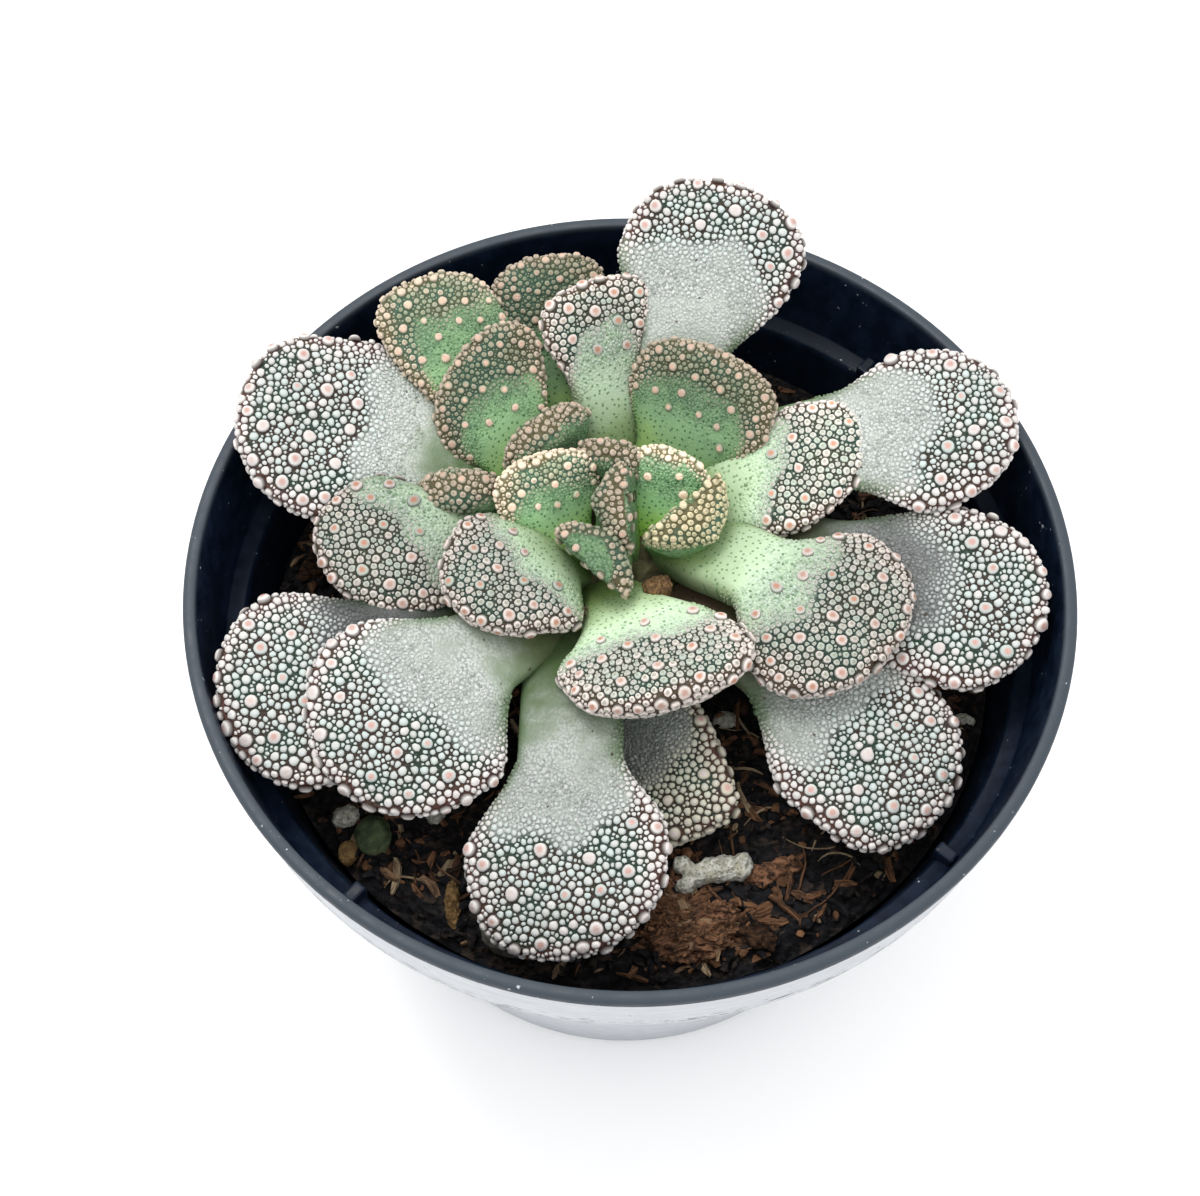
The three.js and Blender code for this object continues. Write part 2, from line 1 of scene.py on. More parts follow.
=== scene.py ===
from math import cos, exp, hypot, pi, radians, sin, sqrt
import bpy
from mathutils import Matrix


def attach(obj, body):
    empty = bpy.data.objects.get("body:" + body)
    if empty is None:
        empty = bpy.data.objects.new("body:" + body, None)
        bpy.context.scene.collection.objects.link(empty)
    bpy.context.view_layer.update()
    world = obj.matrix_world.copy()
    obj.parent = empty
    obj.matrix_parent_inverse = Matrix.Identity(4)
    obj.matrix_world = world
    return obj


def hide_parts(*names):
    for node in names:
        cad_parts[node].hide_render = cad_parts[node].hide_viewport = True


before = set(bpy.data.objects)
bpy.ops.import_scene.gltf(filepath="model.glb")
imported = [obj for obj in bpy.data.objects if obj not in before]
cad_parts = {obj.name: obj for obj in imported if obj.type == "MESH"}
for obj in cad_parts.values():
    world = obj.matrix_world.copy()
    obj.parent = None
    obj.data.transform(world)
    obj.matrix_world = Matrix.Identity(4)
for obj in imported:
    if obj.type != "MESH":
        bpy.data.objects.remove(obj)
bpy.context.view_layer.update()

from types import SimpleNamespace

import bpy
import numpy as np
from mathutils import Matrix, Vector
from mathutils.bvhtree import BVHTree

# Lengths below are in millimetres, as in the CAD source, and are turned into metres when a mesh is made.
MM = 0.001

# Pot and compost, as in the CAD source
POT_HEIGHT = 62
RIM_RADIUS = 45
LIP_INNER_RADIUS = 43.7
COLLAR_HEIGHT = 10
COLLAR_FOOT_RADIUS = 43.9
COLLAR_WALL = 1.6
LEDGE_INNER_RADIUS = 40.6
FOOT_RADIUS = 31
WALL = 1.2
FLOOR = 2.2
DRAIN_RADIUS = 3
DRAIN_CIRCLE = 19
LUG_ANGLES = (-39, 51, 141, 231)
LUG_RADIUS, LUG_LENGTH, LUG_WIDTH, LUG_RISE = 41.2, 2.2, 1.4, 2.2
SOIL_LEVEL = 46.7
SOIL_RISE = 0.8
STEM_CENTRE = (-1, 8.5, 48.3)
STEM_SIZE = (9.5, 11.5, 5.7)
WART_RISE = 0.8
LEDGE = POT_HEIGHT - COLLAR_HEIGHT

# What a leaf has where its row says nothing else. For its shape: face is the way its upper side looks, in degrees,
# where the tip doesn't tell; roll and lean tilt the spoon; it widens from flare to shoulder; blunt squares its end;
# keel folds its back. For its looks: later holds fine warts back; bare is a smooth end; warm gives cream warts;
# dusk darkens the stalk with a purplish grey, a real tint on some leaves and painted shade on those that
# other leaves shade; dry browns its foot; frost and pale are painted light and shade that
# brighten, or below 0 darken, the stalk and the whole leaf for the light that leaf gets.
LEAF_DEFAULTS = dict(
    face=None, roll=0, lean=0, flare=0.28, shoulder=0.7, blunt=2.6, keel=0,
    later=(0, 0, 0), bare=0, warm=0, dusk=0, dry=0, frost=0, pale=0)

# Leaves, from the heart outwards: number in the CAD, age, root, tip, arch, neck, wide, thick, where the warts begin
# at the left, the middle and the right, and what else is set
LEAVES = [
    (24, "young", (-2.4, 4.8, 52), (-4.4, 0.2, 63.3), 0.2, 6, 10.5, 6.9, (0.78, 0.82, 0.78),
     dict(face=45, keel=1, blunt=6, bare=1)),
    (21, "young", (0.8, 8.4, 52), (-0.7, 6.9, 65), 0.2, 6, 9.8, 6.3, (0.7, 0.86, 0.7),
     dict(face=180, keel=1, blunt=6)),
    (23, "young", (3, 9, 52), (6, 6.7, 64.5), 0.2, 6, 11, 7.9, (0.66, 0.82, 0.66),
     dict(face=315, keel=1, blunt=5, warm=0.7, pale=0.4)),
    (20, "young", (-6, 6, 52), (-10, 11.6, 64), 0.5, 6, 12, 4, (0.62, 0.78, 0.62),
     dict(lean=-0.15, blunt=3.5, pale=0.8)),
    (22, "young", (2.5, 9.2, 52), (4.3, 13.3, 63), 0.5, 6, 9, 4, (0.78, 0.93, 0.88),
     dict(face=70, blunt=4, frost=0.4, pale=1)),
    (27, "young", (-2, 13.7, 52), (-2.4, 13.9, 63), 0.2, 5.5, 8.5, 3.6, (0.75, 0.85, 0.75), dict(face=255)),
    (26, "young", (-8, 14.5, 52), (-9.6, 16.9, 63), 0.2, 6.5, 11.5, 4.5, (0.75, 0.85, 0.75), dict(face=315)),
    (25, "young", (-12, 9.7, 51), (-20.6, 9.5, 62), 0.2, 7, 11, 5, (0.6, 0.7, 0.6), dict(face=270)),
    (19, "middle", (-6, 5, 52), (-17.1, -5.2, 62), 3, 7, 16, 4.5, (0.5, 0.6, 0.56),
     dict(roll=5, lean=0.05, flare=0.2, shoulder=0.48, frost=-0.14)),
    (18, "middle", (-3, 3, 51), (5, -15.2, 64), 1, 8.5, 19.5, 5, (0.6, 0.66, 0.62),
     dict(roll=-5, lean=-0.2, blunt=3, frost=0.1, pale=0.15)),
    (17, "middle", (3.5, 9.5, 50.5), (25.6, -8.9, 61), 4, 9, 20.5, 5, (0.6, 0.7, 0.6),
     dict(flare=0.48, shoulder=0.72, blunt=2.8)),
    (16, "middle", (4, 11.3, 51), (24.4, 14.4, 62), 3, 9, 13.7, 4.5, (0.6, 0.62, 0.58),
     dict(roll=-10, lean=-0.4, blunt=3, frost=-0.36, pale=0.42)),
    (15, "young", (1.5, 13.5, 51), (9.3, 23.8, 66), 0.5, 8, 17.5, 4, (0.5, 0.8, 0.5), dict(lean=0.1, blunt=3)),
    (14, "middle", (-1.8, 15.5, 51), (-5, 32, 67), 0.5, 7, 12.5, 4, (0.55, 0.78, 0.66),
     dict(roll=-10, lean=0.15, flare=0.5, shoulder=0.85, blunt=3.5, frost=-0.44, pale=0.22)),
    (12, "young", (-9.8, 11.5, 51), (-17.7, 24.7, 65), 0.5, 6, 14, 4, (0.5, 0.76, 0.5),
     dict(roll=8, lean=0.4, blunt=3, frost=0.35)),
    (10, "middle", (-9, 8, 50), (-31.4, 0.4, 60), 4, 8, 16, 4.5, (0.52, 0.62, 0.7),
     dict(roll=10, lean=0.15, flare=0.4, shoulder=0.7, blunt=2.8, later=(0, 0.05, 0.12), frost=-0.22)),
    (13, "young", (-5, 16, 50), (-10.6, 37.5, 64), 1, 8, 14, 4, (0.6, 0.7, 0.6), dict(blunt=4)),
    (11, "young", (-8.7, 15, 50), (-24.4, 32.1, 66), 2, 8, 13.5, 4, (0.5, 0.76, 0.68),
     dict(roll=5, lean=-0.2, blunt=4, later=(0, 0.06, 0.1), pale=0.35)),
    (7, "old", (-6.2, 1.8, 51.2), (-27.6, -23, 58), 4, 9.5, 21.4, 4.5, (0.58, 0.7, 0.6),
     dict(roll=14, flare=0.4, shoulder=0.68, blunt=2.5, dry=0.25, frost=0.15)),
    (6, "old", (-5.6, 1, 51.2), (-5.2, -38, 53), 4.5, 10.4, 20.6, 4.5, (0.6, 0.7, 0.68),
     dict(roll=-10, lean=0.12, flare=0.5, shoulder=0.76, blunt=2.5)),
    (9, "old", (-10, 15.6, 51.2), (-41.1, 16, 65), 1.5, 10, 21.8, 4.5, (0.56, 0.62, 0.54),
     dict(roll=8, flare=0.32, shoulder=0.64, frost=0.35)),
    (1, "old", (1, 17, 51), (9.9, 42.3, 71), 1.5, 10, 19.5, 4.5, (0.7, 0.78, 0.6),
     dict(roll=-5, lean=0.05, flare=0.45, shoulder=0.72, blunt=3.2, frost=0.25)),
    (2, "old", (5, 16, 51.2), (39.4, 17, 65.2), 3, 10.5, 18, 4.5, (0.64, 0.76, 0.64),
     dict(roll=-10, flare=0.5, shoulder=0.75, blunt=2.5, frost=0.25)),
    (4, "old", (5.5, 3, 51.2), (30.6, -23, 54), 3.5, 9, 19.8, 4.5, (0.6, 0.66, 0.56),
     dict(lean=0.08, flare=0.38, shoulder=0.7, blunt=3, dry=0.8)),
    (3, "old", (6.5, 9, 51.2), (41.4, -4.3, 60), 2.5, 10, 19.5, 4.5, (0.6, 0.74, 0.6),
     dict(roll=-12, flare=0.4, shoulder=0.72, dusk=0.75, dry=0.4)),
    (8, "old", (-9, 3.9, 51), (-38.8, -18.4, 59), 3, 8, 20, 4.5, (0.62, 0.72, 0.62),
     dict(roll=12, lean=-0.1, flare=0.45, shoulder=0.75, dusk=1)),
    (5, "old", (-0.8, 1, 49), (6, -24.6, 50.5), 1, 9, 14.2, 4, (0.45, 0.75, 0.9),
     dict(roll=-30, blunt=6, shoulder=0.85, warm=0.55, dusk=0.3)),
    (28, "withered", (-5.9, -0.6, 54), (-6.4, -3.6, 58.5), 0.5, 3, 4.5, 1.8, (0.54, 0.68, 0.54), {}),
]

# How much light falls on a level surface, 1 being enough to show white as white
STUDIO_LIGHT = 1.42

# How a leaf of each age looks: its colours as 8-bit screen colours, and the numbers of its patterns
AGES = ("old", "middle", "young", "withered")
LEAF_LOOKS = dict(
    # stalk: at its root (on old and middle leaves darker, with painted shade from the leaves round it), farther out,
    # at its back and in the painted shade at its edges, its dots, the grains on it and the gaps between them
    base=((92, 116, 72), (156, 184, 112), (172, 208, 112), (58, 44, 32)),
    neck=((206, 214, 206), (226, 252, 216), (146, 184, 136), (64, 50, 38)),
    back=((104, 132, 88), (160, 180, 136), (126, 166, 104), (48, 38, 28)),
    dot=((112, 120, 106), (104, 146, 100), (66, 112, 72), (40, 30, 22)),
    grain=((226, 228, 227), (228, 242, 228), (138, 170, 136), (78, 66, 50)),
    gap=((150, 157, 152), (142, 168, 144), (84, 118, 86), (40, 30, 22)),
    # skin between the warts: warm, cool and at the edge
    skin=((70, 54, 46), (62, 62, 50), (92, 96, 72), (44, 34, 26)),
    skin_cool=((48, 72, 60), (46, 70, 60), (76, 106, 88), (48, 48, 36)),
    skin_edge=((114, 70, 62), (98, 70, 54), (116, 104, 72), (52, 38, 28)),
    # warts: rim, greenish rim, and the middle of small and of big ones
    rim=((253, 247, 243), (247, 234, 228), (220, 204, 184), (120, 108, 84)),
    cool=((186, 211, 206), (168, 192, 180), (132, 158, 130), (80, 80, 62)),
    small=((222, 222, 224), (158, 162, 144), (144, 136, 110), (92, 80, 60)),
    big=((214, 168, 156), (202, 144, 120), (240, 196, 174), (132, 104, 78)),
    # how strong: dots, wart middles, greenish small warts, dark flecks, grains at the edge, white middles
    dots=(0.15, 0.8, 0.85, 0.3),
    pit=(0.4, 0.85, 0.7, 0.4),
    inner=(0.6, 0.5, 0.8, 0.2),
    fleck=(0.8, 0.3, 0, 0),
    edge_grain=(0.22, 0.8, 1, 1),
    white=(0.7, 0.25, 0, 0),
    # where along the leaf the bloom and the grains begin, and where round it the shaded edge begins
    bloom=(0.26, 0.18, 0.2, 0.2),
    grain_start=(0.34, 0.42, 0.5, 0.3),
    grain_full=(0.64, 0.7, 0.78, 0.6),
    shade_from=(0.15, 0.4, 0.4, 0.4),
)

# What a leaf's mesh tells its material at each point
LEAF_MARKS = ("along", "across", "cover", "grow", "edge", "under", "warm", "dusk", "dry", "pale", "share",
              "wart", "radial", "size", "chance")
UNDERSIDE_DELAY = 0.08

# Fine leaf skin: rows along the midrib, points round it, how close to the tip it ends, and how deep inside other
# leaves skin and warts are hidden
LEAF_ROWS = 44
LEAF_SIDES = 40
LEAF_END = 0.998
HIDDEN_DEPTH = 0.15
WART_HIDDEN_DEPTH = 0.25

# Warts by the leaf's age: the radii of each class, how far apart the big ones stand, how high they rise for their
# radius, how deep their middle is dented, how far they swell into the room round them, and how far down the leaf
# single big ones stray
WART_SIZES = dict(
    big=((0.6, 0.82), (0.55, 0.75), (0.42, 0.56), (0.3, 0.4)),
    middle=((0.34, 0.5), (0.33, 0.46), (0.27, 0.4), (0.24, 0.3)),
    small=((0.21, 0.34), (0.2, 0.3), (0.17, 0.26), (0.2, 0.24)),
    apart=(3.1, 2.7, 2.2, 2), rise=(0.66, 0.56, 0.78, 0.7), pit=(0, 0.2, 0.16, 0), swell=(1.5, 1.5, 1.2, 1.1),
    stray=(0, 0.1, 0.24, 0))
TINY_WART = 0.2

# Packing of the warts: tries for each class, the share of the free room that one takes, the groove between two, how
# sharp their corners are, how many neighbours shape one, and how deep its foot stands in the skin
WART_TRIES = (1500, 4500, 10000)
WART_CLEARANCE = 0.96
GROOVE = 0.06
CORNER_SHARPNESS = 9
NEIGHBOURS = 12
WART_FOOT = -0.16

# Wart shapes from big to tiny: points round, the radii of the rings from the middle outwards, and if dented
WART_SHAPES = (
    (12, (0.34, 0.66, 0.9, 1), True), (9, (0.46, 0.82, 1), True), (7, (0.62, 0.92, 1), False),
    (5, (0.7, 1), False))

# The pot's profile, from the middle of its foot up the outside and down the inside: corners, each with the
# steps from it to the points of the profile, as radius and height
POT_OUTSIDE = (
    ((0, 0), (4, 0), (14, 0), (24, 0)),
    ((FOOT_RADIUS, 0), (-0.6, 0), (-0.25, 0.12), (-0.05, 0.4), (0.05, 0.8), (2.7, 12.5), (5.4, 25), (8.1, 37.5)),
    ((LEDGE_INNER_RADIUS + WALL, LEDGE), (-0.1, -2.4), (0.15, -1.8)),
    ((COLLAR_FOOT_RADIUS, LEDGE), (-0.35, -0.62), (-0.08, -0.42), (0.02, -0.1)),
    ((RIM_RADIUS, POT_HEIGHT), (-0.55, -2.1), (-0.42, -1.7), (-0.08, -1.38), (-0.01, -1.15), (0, -0.95)))
POT_INSIDE = (
    ((RIM_RADIUS, POT_HEIGHT), (0, -0.85), (0, -0.45), (-0.08, -0.16), (-0.3, 0), (-0.65, 0)),
    ((LIP_INNER_RADIUS, POT_HEIGHT), (0.22, 0), (0.05, -0.1), (0, -0.32), (-0.65, -5)),
    ((COLLAR_FOOT_RADIUS - COLLAR_WALL, LEDGE), (0.02, 0.2), (-0.12, 0)),
    ((LEDGE_INNER_RADIUS, LEDGE), (0.2, -0.45), (-0.02, -0.6), (-0.2, -1.5), (-3.7, -18)),
    ((FOOT_RADIUS - WALL, FLOOR), (0.3, 0.4), (-0.6, 0)),
    ((0, FLOOR), (20, 0), (4, 0)))
POT_SIDES = 192
DRAIN_SIDES = 40
LUG_SINK = 0.9
LUG_ROUNDING = 0.18

# Compost: its radius and height at the edge and at the foot, its grid, how many of each kind lie on it and how far
# out, and the lump of bark with the middle of its flakes, its own middle and its half sizes
BED_RADIUS, BED_EDGE = 38.8, 45
BED_FOOT_RADIUS, BED_FOOT = FOOT_RADIUS - WALL - 0.3, FLOOR + 0.3
BED_SIDES, BED_ROWS = 150, 52
CHIPS, FLAKES, CRUMBS, FIBRES = 3100, 150, 1200, 260
CHIP_REACH, CHIP_END, FLAKE_REACH, CRUMB_REACH, FIBRE_REACH, FIBRE_END = 37.6, 38.6, 37, 38, 35.5, 37.8
BARK_LUMP = ((7.6, -32.2), (7.4, -32.6), (4.4, 2.9))
FIBRE_STEPS = 9

# Seeds of the random numbers
LEAF_SEED, COMPOST_SEED, BITS_SEED, STEM_SEED = 1000, 77, 300, 900

# Materials of stones: light, dark and stain, the scale of their grain and how dark their pores are
STONES = dict(
    perlite=((240, 240, 230), (176, 174, 158), (206, 202, 172), 1.8, 0.8),
    grey_stone=((140, 138, 126), (98, 96, 88), (120, 112, 92), 0.9, 0),
    green_stone=((104, 120, 84), (66, 80, 56), (120, 118, 84), 0.8, 0),
    ochre_stone=((160, 130, 84), (110, 84, 52), (130, 104, 66), 1.2, 0),
    brown_stone=((158, 124, 84), (92, 66, 44), (126, 98, 68), 2, 0.5))

# Materials of bark and wood: light and dark
BARKS = dict(bark=((176, 128, 96), (60, 43, 33)), dark_bark=((98, 70, 50), (30, 22, 17)),
             wood=((168, 136, 90), (104, 78, 48)))

# Stones, perlite and bark: slot, material, voxel, roughness and its length, and the balls that each is made of,
# with centre, half sizes and turn in degrees
PERLITE = ("perlite", "perlite", 0.14, 0.12, 1.2)
BITS = {
    "perlite_01": ("perlite", "perlite", 0.16, 0.14, 1.6, [
        ((9.8, -26.6, 48), (3.2, 1.3, 1.35), 10), ((6.2, -26.3, 48), (1.1, 0.95, 1.1), 30),
        ((6.6, -28.3, 47.9), (1.25, 0.9, 1), 35), ((7.6, -27.4, 47.9), (1.2, 1, 1.2), 0),
        ((12.2, -25.9, 48.1), (1, 1.1, 1.2), 0), ((12.1, -26.9, 48), (0.9, 0.8, 1), 0)]),
    "perlite_02": (*PERLITE, [((-28.4, -21.8, 47), (1.55, 1.15, 1.05), 20)]),
    "perlite_03": (*PERLITE, [((-19.2, -21.1, 47), (1.35, 1.05, 0.95), 70)]),
    "perlite_04": (*PERLITE, [((10.4, -9.8, 47.3), (1.45, 1.05, 0.95), 15)]),
    "perlite_05": ("perlite", "perlite", 0.12, 0.1, 1, [((35.6, -8.7, 46.8), (1.25, 0.8, 0.8), -10)]),
    "stone_grey": ("stone", "grey_stone", 0.18, 0.16, 2.2, [
        ((-11.3, -34, 46.9), (2.9, 1.9, 1.7), -35), ((-12.3, -33, 47), (1.6, 1.3, 1.3), 0)]),
    "stone_green": ("stone", "green_stone", 0.16, 0.12, 2, [((-25.4, -23.8, 47), (1.9, 2.3, 1.55), 10)]),
    "stone_ochre": ("stone", "ochre_stone", 0.12, 0.1, 1.2, [((-27.8, -25.6, 46.8), (1.05, 1.35, 0.95), 0)]),
    "stone_brown": ("stone", "brown_stone", 0.1, 0.2, 0.9, [((2.9, 0.2, 57.6), (1.5, 1.4, 1.2), 30)]),
    "bark_01": ("bark", "bark", 0.16, 0.5, 1.3, [
        ((7, -33, 47.2), (4.4, 3, 1.7), 12), ((9.6, -31.4, 47.4), (2.2, 1.6, 1.3), 20),
        ((4.8, -34, 47.2), (2, 1.9, 1.4), 0)]),
    "bark_02": ("bark", "bark", 0.16, 0.25, 1.3, [((15.4, -26.3, 47.1), (3.3, 1.25, 0.85), 25)]),
    "bark_03": ("bark", "dark_bark", 0.16, 0.25, 1.3, [((13.4, -32.8, 46.9), (2.7, 1.35, 0.85), -30)]),
    "bark_04": ("bark", "dark_bark", 0.16, 0.25, 1.3, [((-34.5, 8, 46.9), (2.9, 1.25, 0.85), 60)]),
    "wood_sliver": ("bark", "wood", 0.12, 0.12, 1, [((-16.8, -30.7, 47.1), (0.8, 2.9, 0.7), 6)]),
}

# Camera, fitted to the photograph of 1200 pixels across: metres from the rim's middle, degrees, and the focal
# length in pixels
CAMERA_DISTANCE = 0.2
CAMERA_ELEVATION, CAMERA_YAW, CAMERA_PITCH, CAMERA_ROLL = 60.8, 0.84, -0.88, 1.7
PHOTO_WIDTH, FOCAL_PIXELS, SENSOR_WIDTH = 1200, 1981, 36


def smoothstep(x, low, high):
    t = np.clip((x - low) / (high - low), 0, 1)
    return t * t * (3 - 2 * t)


def unit(vectors):
    return vectors / np.linalg.norm(vectors, axis=-1, keepdims=True)


def waves(points, length, seed, count=7):
    """A smooth pseudo-random field of about -1 to 1 over the points, with bumps of about the given length."""
    rng = np.random.default_rng(seed)
    directions = unit(rng.normal(size=(count, 3)))
    rates = 2 * pi / (length * rng.uniform(0.7, 1.5, count))
    phases = rng.uniform(0, 2 * pi, count)
    total = np.zeros(len(points))
    for direction, rate, phase in zip(directions, rates, phases):
        total += np.sin(points @ direction * rate + phase)
    return total / sqrt(count)


def linear(colour):
    """An 8-bit colour as it looks under the studio's light, as linear red, green, blue and alpha."""
    out = []
    for value in colour:
        v = value / 255
        out.append((v / 12.92 if v <= 0.04045 else ((v + 0.055) / 1.055) ** 2.4) / STUDIO_LIGHT)
    return (*out, 1)


def of_age(table, age):
    """What a table with one value for each age says of this one."""
    return {key: values[AGES.index(age)] for key, values in table.items()}


def ring_angles(sides):
    return np.arange(sides) * 2 * pi / sides


def grid_quads(rows, sides, flip=False):
    """Faces between closed rings of points, one ring after another."""
    start = np.arange(rows - 1)[:, None] * sides
    k = np.arange(sides)[None, :]
    after = (k + 1) % sides
    quads = np.stack([start + k, start + after, start + sides + after, start + sides + k], -1).reshape(-1, 4)
    return quads[:, [0, 3, 2, 1]] if flip else quads


def fan(start, sides, middle, flip=False):
    """Triangles from the ring that begins at point start to a middle point."""
    k = np.arange(sides)
    triangles = np.stack([start + k, start + (k + 1) % sides, np.full(sides, middle)], -1)
    return triangles[:, ::-1] if flip else triangles


class Builder:
    """Points, faces and point attributes gathered for one mesh."""

    def __init__(self, *names):
        self.points, self.quads, self.triangles = [], [], []
        self.values = {name: [] for name in names}
        self.count = 0

    def add(self, points, quads=(), triangles=(), **values):
        points = np.asarray(points, float).reshape(-1, 3)
        self.points.append(points)
        self.quads.append(np.asarray(quads, np.int64).reshape(-1, 4) + self.count)
        self.triangles.append(np.asarray(triangles, np.int64).reshape(-1, 3) + self.count)
        for name, gathered in self.values.items():
            gathered.append(np.broadcast_to(np.asarray(values.get(name, 0), float), (len(points),)))
        self.count += len(points)

    def add_tube(self, rings, flip=False, **values):
        """A tube through rings of points, closed at both ends."""
        rows, sides = rings.shape[:2]
        m = np.arange(1, sides - 1)
        cap = np.stack([0 * m, m + 1, m], -1)
        caps = np.concatenate([cap, cap[:, ::-1] + (rows - 1) * sides])
        self.add(rings, grid_quads(rows, sides, flip), caps[:, ::-1] if flip else caps, **values)

    def build(self, name, material, smooth=True):
        faces = [face for kind in (self.quads, self.triangles) for face in np.concatenate(kind).tolist()]
        mesh = bpy.data.meshes.new(name)
        mesh.from_pydata((np.concatenate(self.points) * MM).tolist(), [], faces, shade_flat=not smooth)
        for key, gathered in self.values.items():
            attribute = mesh.attributes.new(key, "FLOAT", "POINT")
            attribute.data.foreach_set("value", np.concatenate(gathered).astype(np.float32))
        mesh.materials.append(material)
        return link(bpy.data.objects.new(name, mesh))


def link(thing):
    bpy.context.scene.collection.objects.link(thing)
    return thing


def place(piece, node):
    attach(piece, "root")
    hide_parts(node)


def apply_modifiers(piece):
    depsgraph = bpy.context.evaluated_depsgraph_get()
    mesh = bpy.data.meshes.new_from_object(piece.evaluated_get(depsgraph))
    piece.modifiers.clear()
    old = piece.data
    piece.data = mesh
    bpy.data.meshes.remove(old)


def join(target, other):
    bpy.ops.object.select_all(action="DESELECT")
    target.select_set(True)
    other.select_set(True)
    bpy.context.view_layer.objects.active = target
    bpy.ops.object.join()
    target.select_set(False)


class Shader:
    """A node tree under one Principled shader, with short calls for the nodes used here."""

    def __init__(self, name, specular):
        self.material = bpy.data.materials.new(name)
        self.material.use_nodes = True
        self.tree = self.material.node_tree
        self.tree.nodes.clear()
        self.principled = self.node("BsdfPrincipled")
        self.principled.inputs["Specular IOR Level"].default_value = specular
        self.node("OutputMaterial", dict(Surface=self.principled.outputs["BSDF"]))
        spot = self.node("TexCoord").outputs["Object"]
        self.place = self.node("VectorMath", {0: spot, "Scale": 1 / MM}, operation="SCALE").outputs[0]

    def feed(self, node, inputs):
        """Links or sets the inputs of a node."""
        for key, value in dict(inputs).items():
            socket = node.inputs[key]
            if isinstance(value, bpy.types.NodeSocket):
                self.tree.links.new(value, socket)
            elif isinstance(value, tuple) and socket.type == "RGBA":
                socket.default_value = linear(value)
            else:
                socket.default_value = value

    def node(self, kind, inputs=(), **settings):
        node = self.tree.nodes.new("ShaderNode" + kind)
        for key, value in settings.items():
            setattr(node, key, value)
        self.feed(node, inputs)
        return node

    def attribute(self, name):
        return self.node("Attribute", attribute_name=name).outputs["Fac"]

    def vector(self, x, y):
        return self.node("CombineXYZ", {0: x, 1: y}).outputs[0]

    def stretched(self, *factors):
        return self.node("VectorMath", {0: self.place, 1: factors}, operation="MULTIPLY").outputs[0]

    def height(self):
        return self.node("SeparateXYZ", {0: self.place}).outputs["Z"]

    def noise(self, scale, detail=2, roughness=0.5, vector=None):
        inputs = dict(Scale=scale, Detail=detail, Roughness=roughness, Vector=vector or self.place)
        return self.node("TexNoise", inputs).outputs["Fac"]

    def cells(self, scale, vector=None, flat=False, randomness=1, output="Distance"):
        inputs = dict(Scale=scale, Randomness=randomness, Vector=vector or self.place)
        return self.node("TexVoronoi", inputs, voronoi_dimensions="2D" if flat else "3D").outputs[output]

    def cell_chance(self, scale, vector, flat=False):
        """A random number for each cell."""
        return self.node("SeparateColor", {0: self.cells(scale, vector, flat, output="Color")}).outputs[0]

    def math(self, operation, a, b):
        return self.node("Math", {0: a, 1: b}, operation=operation).outputs[0]

    def plus(self, a, b):
        return self.math("ADD", a, b)

    def times(self, a, b):
        return self.math("MULTIPLY", a, b)

    def span(self, value, low, high, to_low=0, to_high=1):
        inputs = {"Value": value, "From Min": low, "From Max": high, "To Min": to_low, "To Max": to_high}
        return self.node("MapRange", inputs, interpolation_type="SMOOTHSTEP").outputs[0]

    def mix(self, factor, a, b, blend="MIX"):
        return self.node("Mix", {0: factor, 6: a, 7: b}, data_type="RGBA", blend_type=blend).outputs[2]

    def gain(self, colour, factor):
        return self.node("VectorMath", {0: colour, "Scale": factor}, operation="SCALE").outputs[0]

    def finish(self, colour, roughness, relief, strength, depth):
        """Links colour, roughness and a relief of the given depth in millimetres to the shader."""
        bump = self.node("Bump", dict(Height=relief, Strength=strength, Distance=depth * MM))
        looks = {"Base Color": colour, "Roughness": roughness, "Normal": bump.outputs["Normal"]}
        self.feed(self.principled, looks)
        return self.material


